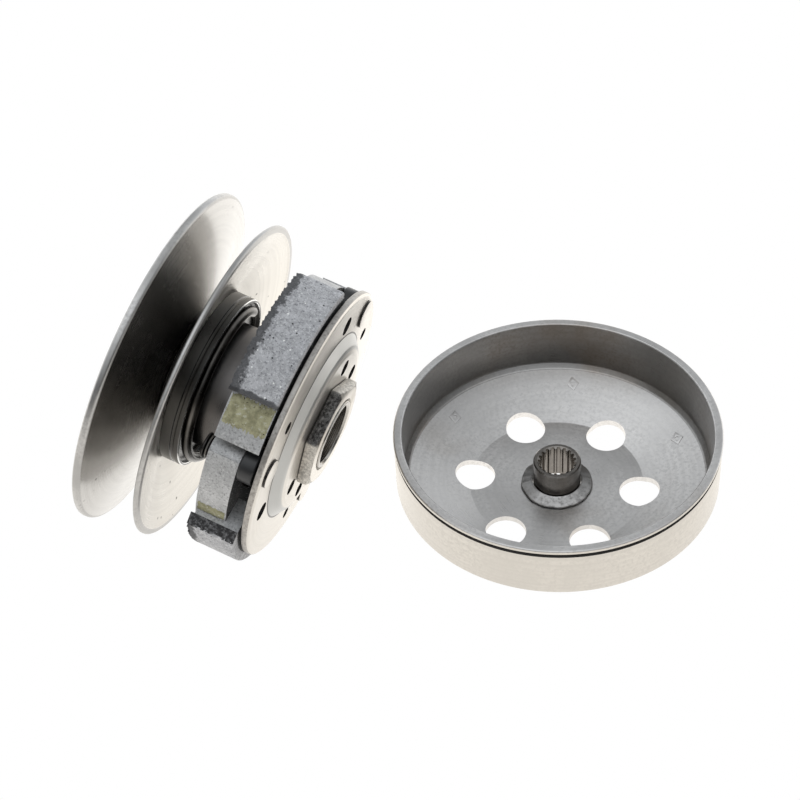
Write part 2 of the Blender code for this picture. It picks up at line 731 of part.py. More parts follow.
def make_return_springs():
    """A small extension spring inside the gap between the arms and the carrier plate side of a heel."""
    p = SHOE_DEG
    start = Vector((*polar(33.9, p + 90.0), 31.0))
    end = Vector((*polar(33.9, p + 112.0), 31.0))
    along = (end - start).normalized()
    side = Vector((0.0, 0.0, 1.0))
    up = along.cross(side)
    turns, coil_r, segments = 5, 1.5, 6
    points = []
    for i in range(turns * segments + 1):
        angle = 2 * math.pi * i / segments
        centre = start.lerp(end, i / (turns * segments))
        points.append(centre + (side * math.cos(angle) + up * math.sin(angle)) * coil_r)
    spring = wire("return_spring_1", points, 0.4, "spring_steel", UNIT, sides=0)
    set_on(spring, PIVOTS[0])
    repeat(spring, ["return_spring_2", "return_spring_3"], 120.0, PIVOTS)


# Bell

def make_bell():
    wall_r = BELL_BORE_R + BELL_WALL
    lip_s = BELL_H - BELL_LIP_H
    profile = [
        (BELL_R - 0.5, BELL_H), (BELL_R, BELL_H - 0.4), (BELL_R, lip_s), (wall_r, lip_s),
        (wall_r, 10.4), (wall_r - 1.2, 7.9), (wall_r - 4.0, 6.0), (BELL_FLAT_R, 0.0),
        (BELL_HUB_R + GAP, 0.0), (BELL_HUB_R + GAP, BELL_FLOOR), (BELL_FLAT_R - 0.6, BELL_FLOOR),
        (BELL_BORE_R - 3.4, 8.0), (BELL_BORE_R - 1.0, 9.6), (BELL_BORE_R, 12.0),
        (BELL_BORE_R, BELL_H - 0.4), (BELL_BORE_R + 0.4, BELL_H),
    ]
    drum = turned("bell_drum", profile, "bell_steel", BELL, steps=LARGE_STEPS)
    holes = []
    for k in range(BELL_HOLE_COUNT):
        x, y = polar(BELL_HOLE_PITCH_R, BELL_HOLE_DEG + 60.0 * k)
        holes.append(rod(f"bell_hole_{k}", BELL_HOLE_R, -5, 12, None, BELL, x, y, 20))
    combine(drum, holes, "DIFFERENCE")
    ring("bell_outer_ring", wall_r + GAP, BELL_RING_R, 8.6, lip_s - 0.45, "bell_steel", BELL, LARGE_STEPS)


def make_bell_hub():
    teeth = []
    for k in range(SPLINE_COUNT):
        start = 360.0 * k / SPLINE_COUNT
        step = 360.0 / SPLINE_COUNT
        teeth += [polar(SPLINE_ROOT_R, start), polar(SPLINE_ROOT_R, start + 0.45 * step)]
        teeth += [polar(SPLINE_TIP_R, start + 0.6 * step), polar(SPLINE_TIP_R, start + 0.85 * step)]
    outside = arc(BELL_HUB_R, 0.0, 348.75, 31)
    outline("bell_hub", [outside, teeth], 0.2, BELL_HUB_H, "bell_hub_steel", BELL)
    inner = BELL_HUB_R + GAP
    profile = [
        (inner + 1.4, BELL_FLOOR + 2.4), (BELL_FLANGE_R, BELL_FLOOR + 1.2), (BELL_FLANGE_R, BELL_FLOOR + GAP),
        (inner, BELL_FLOOR + GAP), (inner, BELL_FLOOR + 2.4),
    ]
    turned("bell_hub_flange", profile, "bell_steel", BELL, steps=MEDIUM_STEPS)


make_fixed_sheave()
make_movable_sheave()
make_tube()
make_guide_pins()
make_cam_hub()
make_seals()
make_spring_seat()
make_contra_spring()
make_ball_bearing()
make_needle_bearing()
make_carrier_plate()
make_nut()
make_shoes()
make_pivots()
make_return_springs()
make_bell()
make_bell_hub()
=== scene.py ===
"""Looks of a scooter CVT driven pulley with its centrifugal clutch, and of the clutch bell beside it.

Lengths are millimetres unless a name says otherwise, and MM turns them into metres. Pieces of the pulley unit
are built in the unit's frame: local Z is its axis, from the fixed sheave to the clutch nut, and Z = 0 is the
middle of the movable sheave's rim. An angle is counted from local X, which points away from the front,
towards local Y, which points up.
"""

import json
import math

import bmesh
import bpy
import numpy as np
from mathutils import Matrix, Vector, noise


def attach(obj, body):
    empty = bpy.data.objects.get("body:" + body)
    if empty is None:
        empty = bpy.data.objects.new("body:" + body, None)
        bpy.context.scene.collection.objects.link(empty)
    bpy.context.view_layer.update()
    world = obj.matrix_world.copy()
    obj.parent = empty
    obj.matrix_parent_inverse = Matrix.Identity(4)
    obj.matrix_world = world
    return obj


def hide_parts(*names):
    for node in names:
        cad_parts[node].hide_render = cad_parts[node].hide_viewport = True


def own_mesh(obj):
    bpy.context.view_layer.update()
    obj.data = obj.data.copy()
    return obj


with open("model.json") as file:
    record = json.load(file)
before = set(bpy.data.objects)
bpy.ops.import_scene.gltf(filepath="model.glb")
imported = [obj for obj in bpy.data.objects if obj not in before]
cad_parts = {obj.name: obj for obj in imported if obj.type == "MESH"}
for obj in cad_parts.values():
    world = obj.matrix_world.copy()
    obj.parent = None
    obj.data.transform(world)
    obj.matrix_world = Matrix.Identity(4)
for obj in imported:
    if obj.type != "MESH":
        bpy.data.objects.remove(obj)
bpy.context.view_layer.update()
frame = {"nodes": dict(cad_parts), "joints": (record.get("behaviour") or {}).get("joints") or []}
MM = 0.001
JOINTS = {joint["name"]: joint for joint in frame["joints"]}
NODES = frame["nodes"]


# Frames

def unit_matrix():
    axis = Vector(JOINTS["sheave_slide"]["axis"]).normalized()
    away = Vector((0, 0, 1)).cross(axis).normalized()
    up = axis.cross(away)
    turn = Matrix((away, up, axis)).transposed().to_4x4()
    return Matrix.Translation(JOINTS["torque_cam_turn"]["pos_m"]) @ turn


UNIT = unit_matrix()
BELL = Matrix.Translation(JOINTS["bell_spin"]["pos_m"])
SHOE_TURNS = [0.0, 120.0, 240.0]
NUT_TO_S = 44.8
NUT_FLATS, NUT_FROM_S, NUT_TURN = 34.0, 40.7, 27.6
SHOE_DEG, PIVOT_R, PIVOT_DEG = 154.0, 41.0, 158.0


# Mesh helpers

def polar(radius, degrees):
    angle = math.radians(degrees)
    return radius * math.cos(angle), radius * math.sin(angle)


def rounded(corners, segments=5):
    """A closed outline from (x, y, corner radius) points, with each corner turned into an arc."""
    points = []
    count = len(corners)
    for i, (x, y, radius) in enumerate(corners):
        here = Vector((x, y))
        before = Vector(corners[i - 1][:2]) - here
        after = Vector(corners[(i + 1) % count][:2]) - here
        if radius <= 0 or before.length < 1e-6 or after.length < 1e-6:
            points.append((x, y))
            continue
        half = before.angle(after) / 2
        if half > math.radians(89.5):
            points.append((x, y))
            continue
        reach = min(radius / math.tan(half), 0.49 * before.length, 0.49 * after.length)
        fit = reach * math.tan(half)
        centre = here + (before.normalized() + after.normalized()).normalized() * fit / math.sin(half)
        start = here + before.normalized() * reach - centre
        end = here + after.normalized() * reach - centre
        sweep = start.angle_signed(end)
        for k in range(segments + 1):
            turn = -sweep * k / segments
            c, s = math.cos(turn), math.sin(turn)
            points.append((centre.x + start.x * c - start.y * s, centre.y + start.x * s + start.y * c))
    return points


def new_object(name, mesh, place, finish, sharp=32):
    piece = bpy.data.objects.new(name, mesh)
    bpy.context.scene.collection.objects.link(piece)
    piece.matrix_world = place
    mesh.materials.clear()
    mesh.materials.append(finish)
    mesh.shade_smooth()
    mesh.set_sharp_from_angle(angle=math.radians(sharp))
    return piece


def lathe_mesh(name, profile, steps=192, ripple=None):
    """Turns a closed (radius, s) outline about Z; ripple(radius, s, angle) may shift a point."""
    count = len(profile)
    verts = []
    for k in range(steps):
        angle = 2 * math.pi * k / steps
        for radius, s in profile:
            if ripple:
                dr, ds = ripple(radius, s, angle)
                radius, s = radius + dr, s + ds
            verts.append((radius * math.cos(angle) * MM, radius * math.sin(angle) * MM, s * MM))
    faces = []
    for k in range(steps):
        n = (k + 1) % steps
        for i in range(count):
            j = (i + 1) % count
            faces.append((k * count + i, k * count + j, n * count + j, n * count + i))
    mesh = bpy.data.meshes.new(name)
    mesh.from_pydata(verts, [], faces)
    fix_normals(mesh)
    return mesh


def fix_normals(mesh):
    work = bmesh.new()
    work.from_mesh(mesh)
    bmesh.ops.recalc_face_normals(work, faces=work.faces)
    work.to_mesh(mesh)
    work.free()


def lathe(name, corners, place, finish, steps=192, ripple=None, sharp=32, segments=5):
    return new_object(name, lathe_mesh(name, rounded(corners, segments), steps, ripple), place, finish, sharp)


def prism_mesh(name, loops, s_from, s_to):
    """Extrudes closed (x, y) loops along Z; a loop inside another is a hole."""
    curve = bpy.data.curves.new(name, "CURVE")
    curve.dimensions = "2D"
    curve.fill_mode = "BOTH"
    curve.extrude = (s_to - s_from) / 2 * MM
    for loop in loops:
        spline = curve.splines.new("POLY")
        spline.points.add(len(loop) - 1)
        for point, (x, y) in zip(spline.points, loop):
            point.co = (x * MM, y * MM, 0.0, 1.0)
        spline.use_cyclic_u = True
    holder = bpy.data.objects.new(name, curve)
    bpy.context.scene.collection.objects.link(holder)
    mesh = evaluated(holder)
    bpy.data.objects.remove(holder)
    mesh.transform(Matrix.Translation((0, 0, (s_from + s_to) / 2 * MM)))
    weld(mesh)
    return mesh


def evaluated(piece):
    bpy.context.view_layer.update()
    return bpy.data.meshes.new_from_object(piece.evaluated_get(bpy.context.evaluated_depsgraph_get()))


def weld(mesh, distance=1e-6):
    work = bmesh.new()
    work.from_mesh(mesh)
    bmesh.ops.remove_doubles(work, verts=work.verts, dist=distance)
    bmesh.ops.recalc_face_normals(work, faces=work.faces)
    work.to_mesh(mesh)
    work.free()


def apply_all(piece, sharp=32):
    """Turns a piece's modifiers into its mesh."""
    mesh = evaluated(piece)
    piece.modifiers.clear()
    piece.data = mesh
    mesh.shade_smooth()
    mesh.set_sharp_from_angle(angle=math.radians(sharp))
    return piece


def boolean(piece, meshes, operation="DIFFERENCE"):
    """Cuts or joins meshes given in the piece's own frame."""
    helpers = []
    for mesh in meshes:
        helper = bpy.data.objects.new("helper", mesh)
        bpy.context.scene.collection.objects.link(helper)
        helper.matrix_world = piece.matrix_world
        helpers.append(helper)
        modifier = piece.modifiers.new("cut", "BOOLEAN")
        modifier.operation = operation
        modifier.object = helper
    apply_all(piece)
    for helper in helpers:
        bpy.data.objects.remove(helper)
    return piece


def bevel(piece, width, segments=2, angle=35):
    modifier = piece.modifiers.new("edges", "BEVEL")
    modifier.width = width * MM
    modifier.segments = segments
    modifier.limit_method = "ANGLE"
    modifier.angle_limit = math.radians(angle)
    modifier.harden_normals = False
    return apply_all(piece, 40)


def rod_mesh(radius, s_from, s_to, x=0.0, y=0.0, sides=48):
    work = bmesh.new()
    bmesh.ops.create_cone(
        work, cap_ends=True, segments=sides, radius1=radius * MM, radius2=radius * MM,
        depth=(s_to - s_from) * MM, matrix=Matrix.Translation((x * MM, y * MM, (s_from + s_to) / 2 * MM)),
    )
    mesh = bpy.data.meshes.new("rod")
    work.to_mesh(mesh)
    work.free()
    return mesh


def arc(radius, start, end, steps):
    return [polar(radius, start + (end - start) * i / steps) for i in range(steps + 1)]


def wire_mesh(name, points, radius, sides=16):
    """A round tube along points, with closed ends."""
    pts = [Vector(p) for p in points]
    rings, faces = [], []
    previous = None
    for i, p in enumerate(pts):
        ahead = pts[min(i + 1, len(pts) - 1)] - pts[max(i - 1, 0)]
        direction = ahead.normalized()
        if previous is None:
            side = direction.orthogonal().normalized()
        else:
            side = (previous - direction * previous.dot(direction)).normalized()
        previous = side
        other = direction.cross(side)
        for k in range(sides):
            a = 2 * math.pi * k / sides
            rings.append((p + (side * math.cos(a) + other * math.sin(a)) * radius) * MM)
    for i in range(len(pts) - 1):
        for k in range(sides):
            n = (k + 1) % sides
            faces.append((i * sides + k, i * sides + n, (i + 1) * sides + n, (i + 1) * sides + k))
    faces.append(tuple(range(sides))[::-1])
    faces.append(tuple((len(pts) - 1) * sides + k for k in range(sides)))
    mesh = bpy.data.meshes.new(name)
    mesh.from_pydata(rings, [], faces)
    fix_normals(mesh)
    return mesh


def stand_for(piece, body, slot, *nodes):
    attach(piece, body)
    if nodes:
        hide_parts(*nodes)
    return piece


# Materials

class Nodes:
    """Short calls for building a node tree."""

    def __init__(self, name):
        self.material = bpy.data.materials.new(name)
        self.material.use_nodes = True
        self.tree = self.material.node_tree
        self.shader = self.tree.nodes["Principled BSDF"]
        self.coord = self.tree.nodes.new("ShaderNodeTexCoord").outputs["Object"]

    def add(self, kind, **settings):
        node = self.tree.nodes.new(kind)
        for key, value in settings.items():
            setattr(node, key, value)
        return node

    def link(self, source, target):
        if isinstance(source, (int, float)):
            target.default_value = source
        elif isinstance(source, tuple):
            target.default_value = source if len(source) == len(target.default_value) else (*source, 1.0)
        else:
            self.tree.links.new(source, target)

    def math(self, operation, a, b=0.0, clamp=False):
        node = self.add("ShaderNodeMath", operation=operation, use_clamp=clamp)
        self.link(a, node.inputs[0])
        self.link(b, node.inputs[1])
        return node.outputs[0]

    def split(self, vector=None):
        node = self.add("ShaderNodeSeparateXYZ")
        self.link(vector or self.coord, node.inputs[0])
        return node.outputs

    def noise(self, scale, detail=2.0, rough=0.5, vector=None, stretch=None):
        node = self.add("ShaderNodeTexNoise")
        node.inputs["Scale"].default_value = scale
        node.inputs["Detail"].default_value = detail
        node.inputs["Roughness"].default_value = rough
        source = vector or self.coord
        if stretch:
            mapping = self.add("ShaderNodeMapping")
            mapping.inputs["Scale"].default_value = stretch
            self.link(source, mapping.inputs["Vector"])
            source = mapping.outputs[0]
        self.link(source, node.inputs["Vector"])
        return node.outputs["Fac"]

    def line_noise(self, value, scale, detail=2.0):
        node = self.add("ShaderNodeTexNoise", noise_dimensions="1D")
        node.inputs["Scale"].default_value = scale
        node.inputs["Detail"].default_value = detail
        self.link(value, node.inputs["W"])
        return node.outputs["Fac"]

    def cells(self, scale, vector=None, feature="F1", randomness=1.0):
        node = self.add("ShaderNodeTexVoronoi", feature=feature)
        node.inputs["Scale"].default_value = scale
        node.inputs["Randomness"].default_value = randomness
        self.link(vector or self.coord, node.inputs["Vector"])
        return node.outputs

    def ramp(self, value, low, high, out_low=0.0, out_high=1.0, smooth=True):
        node = self.add("ShaderNodeMapRange", interpolation_type="SMOOTHSTEP" if smooth else "LINEAR")
        for index, item in enumerate((value, low, high, out_low, out_high)):
            self.link(item, node.inputs[index])
        return node.outputs[0]

    def mix(self, factor, a, b):
        node = self.add("ShaderNodeMix", data_type="RGBA")
        self.link(factor, node.inputs["Factor"])
        self.link(a, node.inputs["A"])
        self.link(b, node.inputs["B"])
        return node.outputs["Result"]

    def bump(self, height, distance_mm, strength=1.0, normal=None):
        node = self.add("ShaderNodeBump")
        node.inputs["Distance"].default_value = distance_mm * MM
        node.inputs["Strength"].default_value = strength
        self.link(height, node.inputs["Height"])
        if normal is not None:
            self.link(normal, node.inputs["Normal"])
        return node.outputs[0]

    def radius(self):
        x, y, _ = self.split()
        return self.math("SQRT", self.math("ADD", self.math("MULTIPLY", x, x), self.math("MULTIPLY", y, y)))

    def angle(self):
        x, y, _ = self.split()
        return self.math("ARCTAN2", y, x)

    def set(self, **inputs):
        for key, value in inputs.items():
            self.link(value, self.shader.inputs[key.replace("_", " ")])
        return self.material


def turned_steel(name, colour, roughness, lines="radius", line_depth=0.004, blotch=0.06,
                 anisotropy=0.55, pits=0.0, stain=(0.30, 0.25, 0.20), stain_share=0.0, grain=0.0, mottle=0.0,
                 painted_shade_bands=()):
    """Metal cut on a lathe: fine rings, soft blotches, a few dark pits, stretched highlights, and optional bands
    of painted shade by radius.
    """
    n = Nodes(name)
    along = n.radius() if lines == "radius" else n.split()[2]
    fine = n.line_noise(along, 5200.0, 3.0)
    broad = n.line_noise(along, 620.0, 2.0)
    cloud = n.noise(38.0, 4.0, 0.6)
    colour_out = n.mix(
        n.ramp(cloud, 0.32, 0.68),
        tuple(c * (1 - blotch) for c in colour),
        tuple(min(1, c * (1 + blotch)) for c in colour),
    )
    colour_out = n.mix(n.ramp(broad, 0.35, 0.7, 0.0, 0.35), colour_out, tuple(c * 0.82 for c in colour))
    if mottle:
        colour_out = n.mix(n.ramp(n.noise(850.0, 3.0, 0.65), 0.42, 0.68, 0.0, 1.0), colour_out,
                           tuple(c * (1 - mottle) for c in colour))
    # Painted shade: each band mixes a darker colour in between two radii, standing in for shade that falls
    # there.
    for low, high, soft, shade in painted_shade_bands:
        reach = n.math("MULTIPLY", n.ramp(n.radius(), (low - soft) * MM, low * MM),
                       n.ramp(n.radius(), high * MM, (high + soft) * MM, 1.0, 0.0))
        colour_out = n.mix(reach, colour_out, shade)
    if stain_share:
        patches = n.ramp(n.noise(21.0, 3.0, 0.55), 0.62 - stain_share, 0.78)
        colour_out = n.mix(n.math("MULTIPLY", patches, 0.5), colour_out, stain)
    if pits:
        spot = n.cells(330.0)["Distance"]
        keep = n.ramp(n.noise(160.0, 1.0), 0.62, 0.66)
        dark = n.math("MULTIPLY", n.ramp(spot, 0.10, 0.22, 1.0, 0.0), keep)
        colour_out = n.mix(n.math("MULTIPLY", dark, pits), colour_out, (0.03, 0.028, 0.025))
    rough = n.math("ADD", n.ramp(cloud, 0.3, 0.7, roughness - 0.04, roughness + 0.06),
                   n.ramp(fine, 0.3, 0.7, -0.03, 0.05))
    height = n.math("ADD", fine, n.math("MULTIPLY", broad, 0.6))
    if grain:
        height = n.math("ADD", height, n.math("MULTIPLY", n.noise(2600.0, 3.0), grain))
    tangent = n.add("ShaderNodeTangent", direction_type="RADIAL", axis="Z")
    return n.set(
        Base_Color=colour_out, Metallic=1.0, Roughness=rough, Anisotropic=anisotropy,
        Normal=n.bump(height, line_depth, 0.8), Tangent=tangent.outputs[0],
    )


def lining_material():
    """Moulded friction lining: grey, with bright and black specks, a ragged dark edge, and a band of painted
    shade at its far end.
    """
    n = Nodes("lining")
    _, _, s = n.split()
    base = n.mix(n.ramp(n.noise(420.0, 4.0, 0.7), 0.3, 0.7), (0.32, 0.32, 0.33), (0.50, 0.50, 0.515))
    base = n.mix(n.ramp(n.noise(1500.0, 3.0, 0.7), 0.5, 0.68, 0.0, 0.8), base, (0.68, 0.68, 0.69))
    base = n.mix(n.ramp(n.noise(1250.0, 3.0, 0.7), 0.48, 0.34, 0.0, 0.7), base, (0.14, 0.14, 0.15))
    flakes = n.cells(620.0)
    speck = n.ramp(flakes["Distance"], 0.12, 0.26, 1.0, 0.0)
    pick = n.split(flakes["Color"])[0]
    base = n.mix(n.math("MULTIPLY", speck, n.ramp(pick, 0.86, 0.89)), base, (0.85, 0.85, 0.83))
    base = n.mix(n.math("MULTIPLY", speck, n.ramp(pick, 0.20, 0.16)), base, (0.02, 0.02, 0.02))
    wobble = n.ramp(n.noise(260.0, 5.0, 0.75), 0.25, 0.75, -0.0018, 0.0018)
    edge = n.ramp(n.math("ADD", s, wobble), 0.0190, 0.0204, 1.0, 0.0)
    base = n.mix(n.math("MULTIPLY", edge, 0.85), base, (0.035, 0.035, 0.037))
    # Painted shade: the last few degrees of the lining are darkened, standing in for the end face and its
    # shadow.
    last = math.radians(SHOE_DEG + 96.0 - 360.0)
    end = n.ramp(n.math("ADD", n.angle(), n.math("MULTIPLY", wobble, 7.0)), last - 0.042, last - 0.026)
    base = n.mix(n.math("MULTIPLY", end, 0.85), base, (0.03, 0.03, 0.032))
    height = n.math("ADD", n.noise(900.0, 5.0, 0.7), n.math("MULTIPLY", speck, 0.3))
    return n.set(Base_Color=base, Roughness=n.ramp(pick, 0.85, 0.95, 0.82, 0.4),
                 Normal=n.bump(height, 0.12, 0.7))


# Painted shade: a near-black copy of the lining for the heel end face of the shoes whose end face lies in shade.
def lining_end_material():
    n = Nodes("lining_end_shade")
    base = n.mix(n.ramp(n.noise(900.0, 4.0, 0.7), 0.4, 0.75), (0.022, 0.021, 0.022), (0.20, 0.20, 0.205))
    return n.set(Base_Color=base, Roughness=0.85, Normal=n.bump(n.noise(900.0, 5.0, 0.7), 0.12, 0.8))


def cast_aluminium(name="cast_aluminium", colour=(0.50, 0.50, 0.50), roughness=0.56):
    n = Nodes(name)
    grain = n.noise(1300.0, 4.0, 0.7)
    cloud = n.noise(110.0, 3.0)
    base = n.mix(n.ramp(cloud, 0.3, 0.7), tuple(c * 0.86 for c in colour), tuple(c * 1.12 for c in colour))
    base = n.mix(n.ramp(grain, 0.50, 0.34, 0.0, 0.7), base, (0.17, 0.17, 0.17))
    base = n.mix(n.ramp(grain, 0.54, 0.70, 0.0, 0.6), base, (0.80, 0.80, 0.79))
    rough = n.ramp(grain, 0.3, 0.7, roughness - 0.05, roughness + 0.12)
    return n.set(Base_Color=base, Metallic=0.65, Roughness=rough, Normal=n.bump(grain, 0.10, 0.8))


def glue_material():
    n = Nodes("dried_glue")
    base = n.mix(n.ramp(n.noise(300.0, 4.0, 0.7), 0.3, 0.7), (0.20, 0.19, 0.105), (0.42, 0.40, 0.25))
    base = n.mix(n.ramp(n.noise(900.0, 3.0, 0.7), 0.55, 0.7), base, (0.50, 0.49, 0.40))
    return n.set(Base_Color=base, Roughness=0.75, Normal=n.bump(n.noise(800.0, 4.0, 0.7), 0.12, 0.8))


def rubber_material():
    n = Nodes("black_rubber")
    base = n.mix(n.noise(300.0, 2.0), (0.008, 0.008, 0.009), (0.02, 0.02, 0.021))
    return n.set(Base_Color=base, Roughness=0.38, Normal=n.bump(n.noise(1500.0, 2.0), 0.02, 0.4))


def spring_material():
    n = Nodes("oiled_spring_steel")
    cloud = n.noise(60.0, 3.0)
    base = n.mix(n.ramp(cloud, 0.35, 0.65), (0.045, 0.042, 0.039), (0.15, 0.14, 0.128))
    return n.set(Base_Color=base, Metallic=1.0, Roughness=n.ramp(cloud, 0.3, 0.7, 0.22, 0.36),
                 Normal=n.bump(n.noise(1800.0, 2.0), 0.01, 0.4))


def nut_material():
    """Forged flats, one of them darkened as painted shade, and a machined bright face."""
    n = Nodes("clutch_nut")
    _, _, s = n.split()
    grain = n.noise(900.0, 5.0, 0.75)
    # Painted shade: the flat that faces 90 degrees past the nut's turn gets a much darker colour, standing in
    # for the shade it shows.
    turned = n.math("ABSOLUTE", n.math("SUBTRACT", n.angle(), math.radians(NUT_TURN + 90.0)))
    scale = n.ramp(turned, math.radians(28.0), math.radians(32.0), 1.0, 0.0)
    forged_flat = n.mix(n.ramp(grain, 0.3, 0.7), (0.28, 0.27, 0.25), (0.70, 0.67, 0.62))
    painted_shade_flat = n.mix(n.ramp(grain, 0.35, 0.75), (0.025, 0.024, 0.023), (0.24, 0.23, 0.22))
    rough_side = n.mix(scale, forged_flat, painted_shade_flat)
    face = n.mix(n.ramp(n.noise(80.0, 3.0), 0.3, 0.7), (0.62, 0.58, 0.52), (0.74, 0.71, 0.66))
    is_face = n.ramp(s, (NUT_TO_S - 0.06) * MM, (NUT_TO_S - 0.02) * MM)
    rings = n.line_noise(n.radius(), 4200.0, 2.0)
    height = n.math("ADD", n.math("MULTIPLY", grain, n.ramp(is_face, 0.0, 1.0, 1.0, 0.04)),
                    n.math("MULTIPLY", rings, 0.03))
    return n.set(
        Base_Color=n.mix(is_face, rough_side, face), Metallic=1.0,
        Roughness=n.ramp(is_face, 0.0, 1.0, 0.52, 0.36), Normal=n.bump(height, 0.16, 0.8),
    )


SHEAVE = turned_steel("sheave_steel", (0.60, 0.578, 0.54), 0.30, line_depth=0.002, pits=0.9, anisotropy=0.3)
RIM = turned_steel("rim_steel", (0.44, 0.432, 0.42), 0.36, line_depth=0.002, anisotropy=0.1, blotch=0.22,
                   mottle=0.15, grain=0.8)
BELT_FACE = turned_steel("belt_face_steel", (0.44, 0.43, 0.415), 0.21, line_depth=0.002, pits=0.9,
                         anisotropy=0.3,
                         stain=(0.10, 0.09, 0.08), stain_share=0.05)
COLLAR = turned_steel("collar_steel", (0.14, 0.132, 0.128), 0.30, lines="axis", line_depth=0.01,
                      anisotropy=0.5, blotch=0.15)
CUP = turned_steel("cup_steel", (0.085, 0.083, 0.08), 0.24, anisotropy=0.3, blotch=0.2)
# The plate steel carries painted shade on the dome's sloping wall (radius 29.5 to 33.2) and a painted dark
# shadow line where the flat ring meets the dome (radius 33.5 to 33.9).
PLATE = turned_steel("plate_steel", (0.66, 0.63, 0.585), 0.34, line_depth=0.002, anisotropy=0.2,
                     blotch=0.05, grain=0.6, stain_share=0.03, mottle=0.06,
                     painted_shade_bands=((29.5, 33.2, 1.0, (0.42, 0.42, 0.41)), (33.5, 33.9, 0.2, (0.10, 0.095, 0.09))))
# Painted shade: a darker copy of the plate steel for the plate's rim, standing in for the dark surround the rim
# reflects; its streaks and mottle are texture.
PLATE_EDGE_SHADED = turned_steel("plate_edge_shaded_steel", (0.40, 0.38, 0.355), 0.42, lines="axis", line_depth=0.004,
                          anisotropy=0.1, blotch=0.25, mottle=0.3, grain=0.8)
DARK = turned_steel("shaded_steel", (0.05, 0.047, 0.045), 0.55, anisotropy=0.0)
BRIGHT = turned_steel("bearing_steel", (0.68, 0.68, 0.67), 0.16, line_depth=0.001, anisotropy=0.2)
BORE = turned_steel("bore_steel", (0.42, 0.40, 0.37), 0.25, lines="axis", anisotropy=0.3)
BELL_STEEL = turned_steel("bell_steel", (0.61, 0.595, 0.58), 0.33, line_depth=0.0015, anisotropy=0.15,
                          grain=1.2,
                          blotch=0.09, stain_share=0.05, mottle=0.14)
BELL_WALL = turned_steel("bell_wall_steel", (0.61, 0.58, 0.535), 0.34, lines="axis", line_depth=0.003,
                         anisotropy=0.3, blotch=0.06, mottle=0.1, grain=0.8)
# Painted shade: a darker copy of the bell steel for the drum's inner wall and its fillet, with brown stain
# patches.
BELL_INSIDE_SHADED = turned_steel("bell_inside_shaded_steel", (0.34, 0.33, 0.32), 0.33, lines="axis", line_depth=0.003,
                           anisotropy=0.3, blotch=0.12, mottle=0.15, stain=(0.20, 0.13, 0.07),
                           stain_share=0.12)
BELL_HUB = turned_steel("bell_hub_steel", (0.20, 0.185, 0.17), 0.22, lines="axis", anisotropy=0.3, mottle=0.2)
WELD = turned_steel("weld_steel", (0.37, 0.36, 0.35), 0.38, anisotropy=0.1, blotch=0.35, mottle=0.35,
                    grain=1.5)
LINING = lining_material()
LINING_END_SHADE = lining_end_material()
CAST = cast_aluminium()
CAST_SHADED = cast_aluminium("cast_aluminium_shaded", (0.10, 0.10, 0.10), 0.7)
GLUE = glue_material()
RUBBER = rubber_material()
SPRING = spring_material()
NUT = nut_material()
PIN = turned_steel("pin_steel", (0.05, 0.047, 0.045), 0.3, anisotropy=0.0)


# Pulley

def belt_slope(r_from, s_from, r_to, s_to):
    return lambda radius: s_from + (s_to - s_from) * (radius - r_from) / (r_to - r_from)


def make_fixed_sheave():
    face = belt_slope(20.0, -10.6, 57.8, -18.1)
    corners = [
        (59.4, face(59.4), 1.6), (59.4, -20.5, 0.6), (58.9, -21.0, 0.3),
        (57.2, -21.0, 0.8), (56.0, face(56.0) - 2.5, 2.0), (24.0, face(24.0) - 2.5, 6.0),
        (20.0, -13.1, 2.0), (14.35, -13.1, 0.2), (14.35, -10.6, 0.2), (19.2, -10.6, 3.0),
    ]
    piece = lathe("fixed_sheave_skin", corners, UNIT, SHEAVE, steps=256)
    piece.data.materials.append(BELT_FACE)
    use_on_belt_face(piece, -1, 57.2)
    stand_for(piece, "pulley_core", "sheave_steel", "fixed_sheave")


def use_on_belt_face(piece, side, rim):
    """Gives the cone that the belt runs on, and the rim, their own finish; side is -1 left of the belt."""
    piece.data.materials.append(RIM)
    for face in piece.data.polygons:
        radius = math.hypot(face.center.x, face.center.y)
        if radius > rim * MM:
            face.material_index = 2
        elif face.normal.z * -side > 0.85 and radius > 0.0205:
            face.material_index = 1


def make_movable_sheave():
    corners = [
        (56.0, 1.4, 0.4), (56.5, 0.9, 0.4), (56.5, 0.1, 0.3), (56.0, -0.4, 0.4), (54.9, -0.4, 0.6),
        (20.4, -10.1, 0.6), (19.45, -10.1, 0.2), (19.45, -7.9, 0.2), (20.8, -7.9, 1.0),
        (53.5, 0.9, 1.0), (54.2, 1.4, 0.4),
    ]
    piece = lathe("movable_sheave_skin", corners, UNIT, SHEAVE, steps=256)
    piece.data.materials.append(BELT_FACE)
    use_on_belt_face(piece, 1, 55.0)
    stand_for(piece, "movable_sheave", "sheave_steel", "movable_sheave")


def make_tube():
    corners = [
        (12.0, 45.2, 0.3), (12.2, 44.8, 0.2), (12.2, 37.6, 0.1), (14.0, 37.6, 0.3), (14.0, -13.4, 0.5),
        (17.0, -13.4, 0.5), (17.0, -27.0, 0.8), (14.3, -27.0, 0.3), (14.3, -26.0, 0.1), (15.3, -26.0, 0.1),
        (15.3, -24.6, 0.1), (14.3, -24.6, 0.1), (14.3, -17.4, 0.2), (10.5, -17.4, 0.3), (10.5, 44.5, 0.2),
        (11.1, 45.2, 0.1),
    ]
    stand_for(lathe("sheave_tube_skin", corners, UNIT, BORE, steps=128), "pulley_core", "bearing_steel",
              "sheave_tube")


